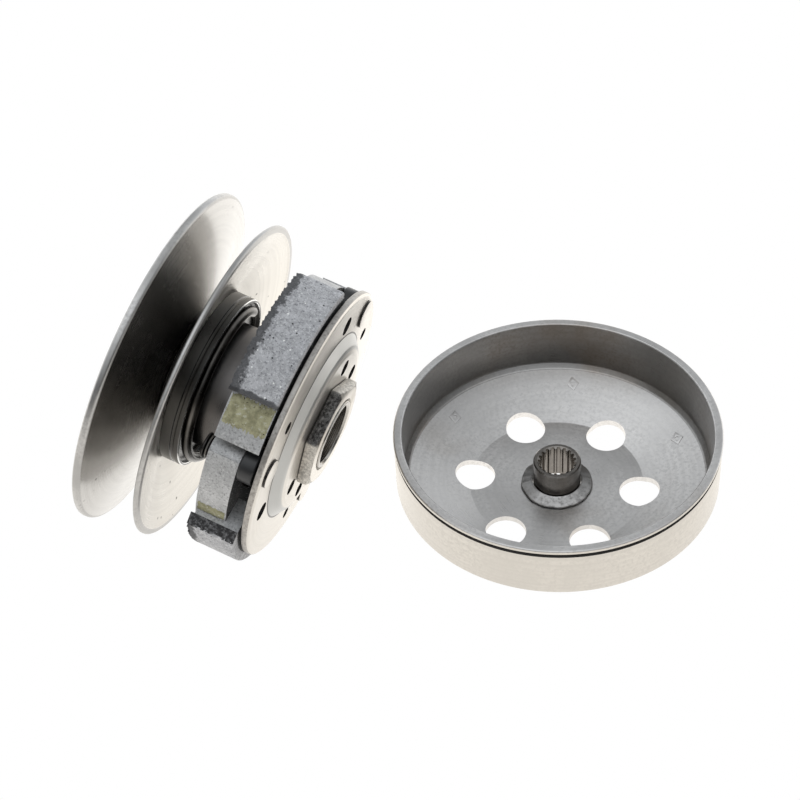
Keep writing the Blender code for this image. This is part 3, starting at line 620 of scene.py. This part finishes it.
def make_spring_seat():
    collar = [
        (22.0, 23.5, 0.25), (22.0, -4.9, 0.3), (21.1, -4.9, 0.2), (21.1, 23.5, 0.2),
    ]
    stand_for(lathe("seal_collar_skin", collar, UNIT, COLLAR), "spring_seat", "dark_steel", "seal_collar")
    cup = [
        (30.2, 2.5, 0.1), (30.5, 2.2, 0.1), (30.5, 0.7, 0.1), (30.1, 0.4, 0.1), (30.1, -0.5, 0.1),
        (30.5, -0.8, 0.1), (30.5, -4.5, 0.3), (29.6, -4.5, 0.2), (29.6, -0.8, 0.6), (22.3, -0.8, 0.2),
        (22.3, 0.2, 0.2), (28.9, 0.2, 0.7), (29.5, 0.9, 0.5), (29.5, 2.3, 0.1), (29.7, 2.5, 0.1),
    ]
    piece = lathe("spring_seat_cup_skin", cup, UNIT, CUP)
    # Painted highlight: the bevels at the cup's mouth get the bright bearing steel, so they show as thin bright
    # lines on the dark cup.
    piece.data.materials.append(BRIGHT)
    for face in piece.data.polygons:
        if face.center.z > 2.3 * MM and 0.35 < face.normal.z < 0.93:
            face.material_index = 1
    stand_for(piece, "spring_seat", "dark_steel", "spring_seat_cup")


def coil_height(turns):
    """Wire centre along the axis over four turns, with soft changes of pitch."""
    knots = [(0.0, 2.4), (0.5, 3.8), (1.0, 14.8), (3.5, 31.5), (4.0, 34.2)]
    def straight(t):
        t = min(max(t, 0.0), 4.0)
        for (t0, s0), (t1, s1) in zip(knots, knots[1:]):
            if t <= t1:
                return s0 + (s1 - s0) * (t - t0) / (t1 - t0)
        return knots[-1][1]
    return sum(straight(turns + d) for d in np.linspace(-0.08, 0.08, 9)) / 9


def make_contra_spring():
    points = []
    for i in range(4 * 72 + 1):
        t = i / 72
        points.append((*polar(26.3, 41.0 + 360.0 * t), coil_height(t)))
    piece = new_object("contra_spring_coil", wire_mesh("coil", points, 1.85, 20), UNIT, SPRING, 60)
    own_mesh(piece)
    stand_for(piece, "pulley_core", "spring_steel", "contra_spring")
    washer = [(29.4, 37.25, 0.2), (29.4, 36.35, 0.2), (23.2, 36.35, 0.2), (23.2, 37.25, 0.2)]
    stand_for(lathe("spring_end_washer_skin", washer, UNIT, BRIGHT, 96), "pulley_core", "bearing_steel",
              "spring_end_washer")


def make_bearings():
    groove = [(12.5, -24.3, 0.2), (12.5, -22.7, 0.1), (13.45, -21.9, 0.9), (13.45, -20.1, 0.9),
              (12.5, -19.3, 0.1),
              (12.5, -17.7, 0.2)]
    outer = [(14.0, -17.7, 0.4), (14.0, -24.3, 0.4)] + groove
    stand_for(lathe("ball_bearing_outer_ring_skin", outer, UNIT, BRIGHT, 96), "pulley_core", "bearing_steel",
              "ball_bearing_outer_ring")
    inner = [(9.0, -17.7, 0.2), (9.0, -19.3, 0.1), (8.05, -20.1, 0.9), (8.05, -21.9, 0.9), (9.0, -22.7, 0.1),
             (9.0, -24.3, 0.2), (7.5, -24.3, 0.4), (7.5, -17.7, 0.4)]
    stand_for(lathe("ball_bearing_inner_ring_skin", inner, UNIT, BRIGHT, 96), "bearing_inner",
              "bearing_steel",
              "ball_bearing_inner_ring")
    cage = lathe("ball_cage_skin",
                 [(11.2, -19.3, 0.2), (11.2, -22.7, 0.2), (10.3, -22.7, 0.2), (10.3, -19.3, 0.2)],
                 UNIT, BRIGHT, 96)
    stand_for(cage, "ball_cage", "bearing_steel", "ball_cage")
    for k in range(8):
        work = bmesh.new()
        place = Matrix.Translation((*(c * MM for c in polar(10.75, 45.0 * k + 7.0)), -21.0 * MM))
        bmesh.ops.create_uvsphere(work, u_segments=28, v_segments=16, radius=2.3 * MM, matrix=place)
        mesh = bpy.data.meshes.new("ball")
        work.to_mesh(mesh)
        work.free()
        ball = new_object(f"bearing_ball_{k + 1}", mesh, UNIT, BRIGHT, 180)
        stand_for(ball, "ball_cage", "bearing_steel")
    shell = [(10.2, 33.0, 0.3), (10.2, 21.0, 0.3), (8.35, 21.0, 0.2), (8.35, 21.5, 0.1), (9.7, 21.5, 0.1),
             (9.7, 32.5, 0.1), (8.35, 32.5, 0.1), (8.35, 33.0, 0.2)]
    stand_for(lathe("needle_bearing_shell_skin", shell, UNIT, BRIGHT, 96), "pulley_core", "bearing_steel",
              "needle_bearing_shell")


# Clutch

RING_S = 37.1


RING_HOLES = ((38.3, 67.1, 3.3), (38.7, 15.5, 2.2))
DOME_HOLES = ((22.9, 19.6, 2.9), (22.9, 59.8, 2.9))


def make_carrier_plate():
    corners = [
        (46.8, RING_S, 1.4), (47.85, RING_S - 0.7, 0.5), (47.85, RING_S - 2.4, 0.4),
        (47.6, RING_S - 2.6, 0.3),
        (32.6, RING_S - 2.6, 1.6), (30.0, 37.9, 1.6), (12.5, 37.9, 0.2), (12.5, 40.4, 0.2), (27.4, 40.4, 2.5),
        (30.2, 39.6, 2.0), (33.5, RING_S, 0.5),
    ]
    plate = lathe("carrier_plate_skin", corners, UNIT, PLATE, steps=240, segments=6)
    cuts = []
    holes = [(r, deg + turn, size) for turn in SHOE_TURNS for r, deg, size in RING_HOLES]
    holes += [(r, deg + turn, size) for turn in (0.0, 180.0) for r, deg, size in DOME_HOLES]
    for radius, degrees, size in holes:
        cuts.append(rod_mesh(size, 30.0, 45.0, *polar(radius, degrees)))
    boolean(plate, cuts)
    # Painted shade: the band round the plate's rim gets the darker rim copy of the plate steel.
    plate.data.materials.append(PLATE_EDGE_SHADED)
    plate.data.materials.append(DARK)
    # Painted shade: the back face and the walls of the holes get the near-black shaded steel.
    for face in plate.data.polygons:
        radius, upright = math.hypot(face.center.x, face.center.y) / MM, face.normal.z
        if radius > 47.4 and abs(upright) < 0.8:
            face.material_index = 1
        elif upright < -0.5 or (abs(upright) < 0.2 and radius > 13.0):
            face.material_index = 2
    stand_for(plate, "pulley_core", "plate_steel", "carrier_plate")


def make_nut():
    corner_r = NUT_FLATS / math.sqrt(3)
    hexagon = [polar(corner_r, NUT_TURN + 60.0 * k) for k in range(6)]
    mesh = prism_mesh("nut", [hexagon, arc(11.9, 0.0, 357.5, 143)], NUT_FROM_S, NUT_TO_S)
    nut = new_object("clutch_nut_skin", mesh, UNIT, NUT)
    chamfer = lathe_mesh(
        "chamfer", [(26.0, NUT_TO_S + 3), (26.0, NUT_TO_S - 3.4), (16.9, NUT_TO_S + 0.15),
                    (16.9, NUT_TO_S + 3)], 128
    )
    countersink = lathe_mesh(
        "countersink", [(13.6, NUT_TO_S + 1), (13.2, NUT_TO_S - 0.02), (11.5, NUT_TO_S - 1.4),
                        (3, NUT_TO_S - 1.4),
                        (3, NUT_TO_S + 1)], 96
    )
    boolean(nut, [chamfer, countersink])
    bevel(nut, 0.18, 2, 30)
    stand_for(nut, "pulley_core", "nut_steel", "clutch_nut")


HEEL_R, ARM_R, LINING_R = 46.0, 48.0, 51.4


def arm_mesh():
    """One shoe arm at the first pivot: heel with its boss, body under the lining, and a thin toe."""
    p = SHOE_DEG
    body = arc(ARM_R, p + 36.0, p + 114.5, 60) + arc(46.6, p + 114.5, p + 107.5, 6)
    body += arc(36.3, p + 107.0, p + 36.0, 50)
    heel = arc(HEEL_R, p + 2.0, p + 39.0, 26) + arc(36.7, p + 39.0, p + 2.0, 20)
    x, y = polar(PIVOT_R, PIVOT_DEG)
    piece = new_object("arm", prism_mesh("arm", [body], 17.8, 33.4), Matrix.Identity(4), CAST)
    parts = [prism_mesh("heel", [heel], 17.2, 28.0), rod_mesh(5.0, 17.2, 28.0, x, y)]
    boolean(piece, parts, "UNION")
    boolean(piece, [rod_mesh(3.3, 10.0, 36.0, x, y)])
    bevel(piece, 0.45, 3, 40)
    mesh = piece.data
    bpy.data.objects.remove(piece)
    return mesh


def patch_mesh(name, radius, thick, deg_from, deg_to, s_from, s_to, ragged, seed, step=0.35):
    """A thin curved patch on a cylinder, with a ragged outline and an uneven surface."""
    rows = max(2, int((deg_to - deg_from) * math.pi / 180 * radius / step))
    cols = max(2, int((s_to - s_from) / step))
    verts, faces = [], []
    for top in (1, 0):
        for i in range(rows + 1):
            for j in range(cols + 1):
                u, v = i / rows, j / cols
                centre = Vector((u * 20, v * 20, seed))
                push_a = ragged[0] * noise.noise(centre * 1.3) * (1 - 2 * u) * -1
                push_s = ragged[1] * noise.noise(centre * 1.7 + Vector((9, 3, 1))) * (1 - 2 * v) * -1
                rim = min(1.0, min(u, 1 - u) * rows / 2.5, min(v, 1 - v) * cols / 2.5)
                height = thick * (0.25 + 0.75 * rim) * (1 + 0.35 * noise.noise(centre * 2.5)) if top else -0.05
                degrees = deg_from + (deg_to - deg_from) * u + push_a / radius * 57.3
                x, y = polar(radius + height, degrees)
                verts.append((x * MM, y * MM, (s_from + (s_to - s_from) * v + push_s) * MM))
    layer = (rows + 1) * (cols + 1)
    at = lambda i, j: i * (cols + 1) + j
    for i in range(rows):
        for j in range(cols):
            quad = (at(i, j), at(i + 1, j), at(i + 1, j + 1), at(i, j + 1))
            faces.append(quad)
            faces.append(tuple(layer + q for q in reversed(quad)))
    border = [at(i, 0) for i in range(rows)] + [at(rows, j) for j in range(cols)]
    border += [at(i, cols) for i in range(rows, 0, -1)] + [at(0, j) for j in range(cols, 0, -1)]
    for a, b in zip(border, border[1:] + border[:1]):
        faces.append((b, a, layer + a, layer + b))
    mesh = bpy.data.meshes.new(name)
    mesh.from_pydata(verts, [], faces)
    fix_normals(mesh)
    return mesh


LINING_SLOPE = 2.4


def lining_mesh():
    """The moulded lining: square edges on the plate's side, a worn and broken edge on the sheave's side."""
    radius_in, radius_out = ARM_R + 0.05, LINING_R
    rows, cols, layers = 150, 46, 8
    p = SHOE_DEG
    verts, faces, index = [], [], {}

    def point(i, j, k):
        u, v, w = i / rows, j / cols, k / layers
        degrees = p + 35.5 + LINING_SLOPE * w + (60.5 - LINING_SLOPE * w) * u
        s = 16.4 + 17.1 * v
        radius = radius_in + (radius_out - radius_in) * w
        chew = noise.noise(Vector((u * 34, v * 3, 4.2)))
        fine = noise.noise(Vector((u * 130, v * 12, 1.7)))
        near = max(0.0, 1 - (s - 16.4) / 1.6)
        s += near * (0.45 + 0.6 * chew + 0.3 * fine) * (0.4 + 0.6 * w)
        radius -= near * w * (0.5 + 0.5 * chew + 0.3 * fine)
        for side, share in ((max(0.0, 1 - u * rows / 2), 1), (max(0.0, 1 - (1 - u) * rows / 2), -1)):
            degrees += share * side * (0.25 + 0.5 * noise.noise(Vector((v * 15, w * 4, 7.7 * share)))) * w
            radius -= side * w * 0.35
        radius += 0.05 * noise.noise(Vector((u * 90, v * 22, 3.3))) * w
        if v > 0.985:
            radius -= 0.15 * w
        x, y = polar(radius, degrees)
        return x * MM, y * MM, s * MM

    def vert(i, j, k):
        key = (i, j, k)
        if key not in index:
            index[key] = len(verts)
            verts.append(point(i, j, k))
        return index[key]

    def sheet(a_count, b_count, at):
        for a in range(a_count):
            for b in range(b_count):
                faces.append((at(a, b), at(a + 1, b), at(a + 1, b + 1), at(a, b + 1)))

    sheet(rows, cols, lambda a, b: vert(a, b, layers))
    sheet(rows, cols, lambda a, b: vert(a, b, 0))
    sheet(rows, layers, lambda a, b: vert(a, 0, b))
    sheet(rows, layers, lambda a, b: vert(a, cols, b))
    sheet(cols, layers, lambda a, b: vert(0, a, b))
    sheet(cols, layers, lambda a, b: vert(rows, a, b))
    mesh = bpy.data.meshes.new("lining")
    mesh.from_pydata(verts, [], faces)
    fix_normals(mesh)
    return mesh


def shade_inner(arm):
    """Painted shade: a dark copy of the cast finish on the faces that look at the plate, the axis, or the step
    behind the heel.
    """
    arm.data.materials.append(CAST_SHADED)
    first = math.radians(SHOE_DEG + 36.0)
    for face in arm.data.polygons:
        x, y, s = face.center / MM
        radius = math.hypot(x, y)
        inward = -(x * face.normal.x + y * face.normal.y) / radius
        back = face.normal.x * math.sin(first) - face.normal.y * math.cos(first)
        if face.normal.z > 0.5 or inward > 0.5 or (s > 28.3 and back > 0.5):
            face.material_index = 1


def make_shoes():
    arm, lining = arm_mesh(), lining_mesh()
    p = SHOE_DEG
    for k, turn in enumerate(SHOE_TURNS, start=1):
        place = UNIT @ Matrix.Rotation(math.radians(turn), 4, "Z")
        body = f"shoe_{k}"
        piece = new_object(f"shoe_arm_skin_{k}", arm.copy(), place, CAST, 40)
        shade_inner(piece)
        stand_for(piece, body, "shoe_aluminium", f"shoe_arm_{k}")
        piece = new_object(f"shoe_lining_skin_{k}", lining.copy(), place, LINING, 50)
        # Painted light and shade: the lining's heel end face gets the lighter cast finish on shoe 3, which
        # catches the light, and the near-black end shade on shoes 1 and 2.
        piece.data.materials.append(CAST if k == 3 else LINING_END_SHADE)
        first = math.radians(p + 35.5)
        for face in piece.data.polygons:
            if face.normal.x * math.sin(first) - face.normal.y * math.cos(first) > 0.5:
                face.material_index = 1
        stand_for(piece, body, "lining", f"shoe_lining_{k}")
        toe = patch_mesh("toe", ARM_R, 0.28, p + 96.3, p + 108.0, 18.3, 33.1, (1.6, 0.5), 3.0 + k)
        heel = patch_mesh("heel", HEEL_R, 0.25, p + 30.0, p + 35.6, 17.8, 27.4, (0.8, 0.5), 13.0 + k)
        stand_for(new_object(f"toe_glue_{k}", toe, place, GLUE, 60), body, "lining")
        stand_for(new_object(f"heel_glue_{k}", heel, place, GLUE, 60), body, "lining")


def make_pivots():
    x, y = polar(PIVOT_R, PIVOT_DEG)
    for k, turn in enumerate(SHOE_TURNS, start=1):
        place = UNIT @ Matrix.Rotation(math.radians(turn), 4, "Z") @ Matrix.Translation((x * MM, y * MM, 0))
        pin = [(0.01, 38.0, 0), (4.9, 38.0, 0.3), (4.9, 37.15, 0.1), (3.0, 37.15, 0.1), (3.0, 16.4, 0.1),
               (2.0, 16.4, 0.1), (2.0, 15.7, 0.1), (3.1, 15.5, 0.1), (4.4, 15.3, 0.3), (4.3, 14.5, 0.7),
               (0.01, 14.2, 0)]
        piece = lathe(f"pivot_pin_skin_{k}", pin, place, PIN, 48)
        # Painted shade: the head's side wall keeps the near-black pin steel as a dark shadowed ring, while its
        # top face gets the plate steel.
        piece.data.materials.append(PLATE)
        for face in piece.data.polygons:
            if face.center.z > 0.037 and face.normal.z > 0.7:
                face.material_index = 1
        stand_for(piece, "pulley_core", "dark_steel", f"pivot_pin_{k}")
        rubber = [(6.2, 33.8, 0.8), (6.2, 28.2, 0.8), (3.2, 28.2, 0.3), (3.2, 33.8, 0.3)]
        stand_for(lathe(f"damper_rubber_skin_{k}", rubber, place, RUBBER, 64), "pulley_core", "black_rubber",
                  f"damper_rubber_{k}")


def make_return_springs():
    p = SHOE_DEG
    start, end = Vector((*polar(33.9, p + 90.0), 31.0)), Vector((*polar(33.9, p + 112.0), 31.0))
    along = (end - start).normalized()
    side = Vector((0, 0, 1))
    up = along.cross(side)
    turns = 14
    points = []
    for i in range(turns * 20 + 1):
        a = 2 * math.pi * i / 20
        points.append(start.lerp(end, i / (turns * 20)) + (side * math.cos(a) + up * math.sin(a)) * 1.5)
    for k, turn in enumerate(SHOE_TURNS, start=1):
        place = UNIT @ Matrix.Rotation(math.radians(turn), 4, "Z")
        piece = new_object(f"return_spring_coil_{k}", wire_mesh("return", points, 0.38, 10), place, SPRING,
                           60)
        stand_for(piece, f"shoe_{k}", "spring_steel", f"return_spring_{k}")


# Bell

def make_bell():
    corners = [
        (56.1, 29.0, 0.45), (56.5, 28.6, 0.35), (56.5, 27.6, 0.35), (56.2, 27.4, 0.2), (54.9, 27.4, 0.2),
        (54.9, 10.6, 3.2), (50.4, 6.0, 5.0), (31.0, 0.0, 6.0), (8.6, 0.0, 0.2), (8.6, 2.1, 0.2),
        (30.4, 2.1, 2.0), (51.9, 8.7, 1.5), (53.4, 10.5, 1.0), (53.4, 28.6, 0.3), (53.8, 29.0, 0.35),
    ]
    drum = lathe("bell_drum_skin", corners, BELL, BELL_STEEL, steps=240, segments=7)
    holes = []
    for k in range(6):
        x, y = polar(29.0, -12.7 + 60.0 * k)
        holes.append(rod_mesh(7.0, -5.0, 15.0, x, y, 64))
    boolean(drum, holes)
    for finish in (BELL_WALL, BELL_INSIDE_SHADED, DARK):
        drum.data.materials.append(finish)
    # Painted shade: the outer wall in the groove under the rim lip gets the near-black shaded steel.
    for face in drum.data.polygons:
        radius, s = math.hypot(face.center.x, face.center.y) / MM, face.center.z / MM
        outward = (face.center.x * face.normal.x + face.center.y * face.normal.y) > 0
        if outward and radius > 54.0 and 20.0 < s < 27.45:
            face.material_index = 3
        elif outward and radius > 53.3 and abs(face.normal.z) < 0.6:
            face.material_index = 1
        # Painted shade: the inner wall and its fillet get the darker inside copy, which also hides the fillet's
        # highlight.
        elif radius > 51.4 and s > 8.0 and (radius < 53.6 or s < 27.0):
            face.material_index = 2
    stand_for(drum, "bell", "bell_steel", "bell_drum")
    ring = [(55.8, 26.5, 0.4), (56.3, 26.0, 0.4), (56.3, 9.0, 0.4), (55.9, 8.6, 0.4), (55.2, 8.6, 0.2),
            (55.2, 26.5, 0.2)]
    piece = lathe("bell_outer_ring_skin", ring, BELL, BELL_WALL, steps=240)
    piece.data.materials.append(DARK)
    # Painted shade: the top of the ring, tucked under the rim lip, gets the near-black shaded steel.
    for face in piece.data.polygons:
        if face.center.z > 25.6 * MM and face.normal.z > 0.25:
            face.material_index = 1
    stand_for(piece, "bell", "bell_steel", "bell_outer_ring")


def make_bell_hub():
    teeth = []
    count = 19
    step = 360.0 / count
    for k in range(count):
        start = step * k
        teeth += [polar(6.7, start), polar(6.7, start + 0.22 * step), polar(6.7, start + 0.42 * step)]
        teeth += [polar(6.05, start + 0.58 * step), polar(6.0, start + 0.72 * step),
                  polar(6.05, start + 0.86 * step)]
    mesh = prism_mesh("hub", [arc(8.3, 0.0, 357.5, 143), teeth], 0.2, 13.6)
    hub = new_object("bell_hub_skin", mesh, BELL, BELL_HUB)
    mouth = lathe_mesh("mouth", [(6.95, 14.6), (6.95, 13.6), (6.0, 13.0), (2.0, 13.0), (2.0, 14.6)], 96)
    rim = lathe_mesh("rim", [(9.5, 15.0), (9.5, 12.9), (8.5, 12.9), (7.4, 14.2), (7.4, 15.0)], 96)
    boolean(hub, [mouth, rim])
    stand_for(hub, "bell", "bell_hub_steel", "bell_hub")

    def weld_spots(radius, s, angle):
        wave = noise.noise(Vector((math.cos(angle) * 4, math.sin(angle) * 4, 0.5)))
        push = 0.3 * wave if radius > 11 else 0.0
        if s < 2.6:
            return push, 0.0
        return push, 0.09 * math.cos(12 * angle) ** 4 * (1 if radius > 10 else 0.4) + 0.05 * wave

    flange = [(9.2, 4.3, 0.6), (12.3, 2.95, 0.4), (12.6, 2.5, 0.1), (8.6, 2.5, 0.1), (8.6, 4.7, 0.2)]
    piece = lathe("bell_hub_flange_skin", flange, BELL, WELD, steps=192, ripple=weld_spots)
    stand_for(piece, "bell", "bell_steel", "bell_hub_flange")
    for k in range(3):
        stand_for(projection_mark(k), "bell", "bell_steel")


def projection_mark(index):
    """A small raised rhombus with a dent, pressed in the cone of the bell's floor."""
    degrees = -12.7 + 30.0 + 60.0 * index
    x, y = polar(46.0, degrees)
    tilt = math.atan2(6.0, 19.5)
    rhombus = [(2.9, 0), (0.9, 1.5), (0, 2.3), (-0.9, 1.5), (-2.9, 0), (-0.9, -1.5), (0, -2.3), (0.9, -1.5)]
    dent = [polar(0.75, 30.0 * k) for k in range(12)]
    mesh = prism_mesh("mark", [rhombus, dent], -0.3, 0.16)
    place = BELL @ Matrix.Translation((x * MM, y * MM, 6.95 * MM)) @ Matrix.Rotation(math.radians(degrees),
                                                                                     4, "Z")
    place = place @ Matrix.Rotation(-tilt, 4, "Y") @ Matrix.Rotation(math.radians(90.0 - degrees), 4, "Z")
    piece = new_object(f"projection_mark_{index + 1}", mesh, place, BELL_STEEL)
    return bevel(piece, 0.14, 3)


# Pieces that keep their CAD shape

def finish_cad_nodes():
    finishes = {
        "cam_hub": BRIGHT, "bearing_circlip": SPRING, "needle_cage": BRIGHT,
        "hub_oil_seal_1": RUBBER, "hub_oil_seal_2": RUBBER, "collar_o_ring_1": RUBBER, "collar_o_ring_2": RUBBER,
    }
    for k in (1, 2, 3):
        finishes[f"guide_pin_{k}"] = BRIGHT
        finishes[f"guide_roller_{k}"] = BRIGHT
        finishes[f"pivot_clip_{k}"] = SPRING
    for name, finish in finishes.items():
        node = NODES[name]
        node.data.materials.clear()
        node.data.materials.append(finish)


# Stage

CAMERA_PITCH, CAMERA_ROLL = math.radians(43.986), math.radians(-3.5126)
CAMERA_DISTANCE, CAMERA_SHIFT = 738.67, (-55.27, 30.74)
CAMERA_LENS = 94.322


def make_camera():
    forward = Vector((0, math.cos(CAMERA_PITCH), -math.sin(CAMERA_PITCH)))
    flat_right, flat_up = Vector((1, 0, 0)), Vector((0, math.sin(CAMERA_PITCH), math.cos(CAMERA_PITCH)))
    right = flat_right * math.cos(CAMERA_ROLL) + flat_up * math.sin(CAMERA_ROLL)
    up = flat_up * math.cos(CAMERA_ROLL) - flat_right * math.sin(CAMERA_ROLL)
    place = BELL.translation + (right * CAMERA_SHIFT[0] + up * CAMERA_SHIFT[1] - forward * CAMERA_DISTANCE) * MM
    data = bpy.data.cameras.new("camera")
    data.lens = CAMERA_LENS
    data.sensor_width = 36.0
    camera = bpy.data.objects.new("camera", data)
    bpy.context.scene.collection.objects.link(camera)
    turn = Matrix((right, up, -forward)).transposed().to_4x4()
    camera.matrix_world = Matrix.Translation(place) @ turn
    bpy.context.scene.camera = camera


class Tree:
    """Small helper for the node trees of the table and the surround."""

    def __init__(self, tree):
        self.tree = tree

    def ramp(self, source, low, high, a, b):
        node = self.tree.nodes.new("ShaderNodeMapRange")
        node.interpolation_type = "SMOOTHSTEP"
        self.tree.links.new(source, node.inputs[0])
        for i, value in enumerate((low, high, a, b), start=1):
            node.inputs[i].default_value = value
        return node.outputs[0]

    def math(self, operation, a, b):
        node = self.tree.nodes.new("ShaderNodeMath")
        node.operation = operation
        for value, socket in ((a, node.inputs[0]), (b, node.inputs[1])):
            if hasattr(value, "links"):
                self.tree.links.new(value, socket)
            else:
                socket.default_value = value
        return node.outputs[0]

    def split(self, source):
        node = self.tree.nodes.new("ShaderNodeSeparateXYZ")
        self.tree.links.new(source, node.inputs[0])
        return node.outputs


def make_floor():
    """A white lit table: it shows plain white and lights the object from below, most from behind."""
    bpy.ops.mesh.primitive_plane_add(size=3.0, location=(0, 0, -0.0002))
    floor = bpy.context.object
    floor.name = "floor"
    made = bpy.data.materials.new("white_table")
    made.use_nodes = True
    tree = made.node_tree
    tree.nodes.clear()
    helper = Tree(tree)
    place = helper.split(tree.nodes.new("ShaderNodeNewGeometry").outputs["Position"])
    glow = tree.nodes.new("ShaderNodeEmission")
    glow.inputs["Color"].default_value = (1.0, 0.98, 0.945, 1.0)
    tree.links.new(helper.ramp(place[1], -0.07, 0.07, 1.2, 1.75), glow.inputs["Strength"])
    seen = tree.nodes.new("ShaderNodeEmission")
    seen.inputs["Strength"].default_value = 1.0
    path = tree.nodes.new("ShaderNodeLightPath")
    mix = tree.nodes.new("ShaderNodeMixShader")
    out = tree.nodes.new("ShaderNodeOutputMaterial")
    tree.links.new(path.outputs["Is Camera Ray"], mix.inputs[0])
    tree.links.new(glow.outputs[0], mix.inputs[1])
    tree.links.new(seen.outputs[0], mix.inputs[2])
    tree.links.new(mix.outputs[0], out.inputs[0])
    floor.data.materials.append(made)


def make_world():
    """Soft studio surround: a backdrop, a dim overhead panel leaning left, and a dark front."""
    world = bpy.data.worlds.new("studio")
    world.use_nodes = True
    bpy.context.scene.world = world
    tree = world.node_tree
    background = tree.nodes["Background"]
    helper = Tree(tree)
    x, y, z = helper.split(tree.nodes.new("ShaderNodeTexCoord").outputs["Generated"])
    def product(*factors):
        result = factors[0]
        for factor in factors[1:]:
            result = helper.math("MULTIPLY", result, factor)
        return result

    def lobe(direction, far, near, strength):
        dot = helper.math("MULTIPLY", x, direction[0])
        for axis, share in ((y, direction[1]), (z, direction[2])):
            dot = helper.math("ADD", dot, helper.math("MULTIPLY", axis, share))
        return helper.ramp(dot, far, near, 0.0, strength)

    panels = [
        product(helper.ramp(z, 0.05, 0.42, 0.8, 0.0), helper.ramp(y, -0.1, 0.6, 0.0, 1.0)),
        product(helper.ramp(y, -0.45, 0.45, 0.03, 0.80), helper.ramp(z, 0.54, 0.70, 1.0, 0.5)),
        product(helper.ramp(z, 0.72, 0.93, 0.0, 0.6), helper.ramp(x, -0.35, 0.25, 1.4, 0.7)),
        product(helper.ramp(y, -0.30, 0.15, 1.0, 0.0), helper.ramp(z, 0.30, 0.65, 0.0, 0.9)),
        helper.ramp(x, -0.95, -0.35, 0.35, 0.0),
        lobe((-0.45, 0.50, 0.74), 0.90, 0.985, 0.42),
        lobe((0.52, 0.64, 0.57), 0.93, 0.99, 0.35),
    ]
    total = panels[0]
    for panel in panels[1:]:
        total = helper.math("ADD", total, panel)
    tree.links.new(total, background.inputs["Strength"])
    background.inputs["Color"].default_value = (0.93, 0.965, 1.0, 1.0)


make_fixed_sheave()
make_movable_sheave()
make_tube()
make_spring_seat()
make_contra_spring()
make_bearings()
make_carrier_plate()
make_nut()
make_shoes()
make_pivots()
make_return_springs()
make_bell()
make_bell_hub()
finish_cad_nodes()
make_camera()
make_floor()
make_world()
bpy.context.scene.view_settings.view_transform = "Standard"
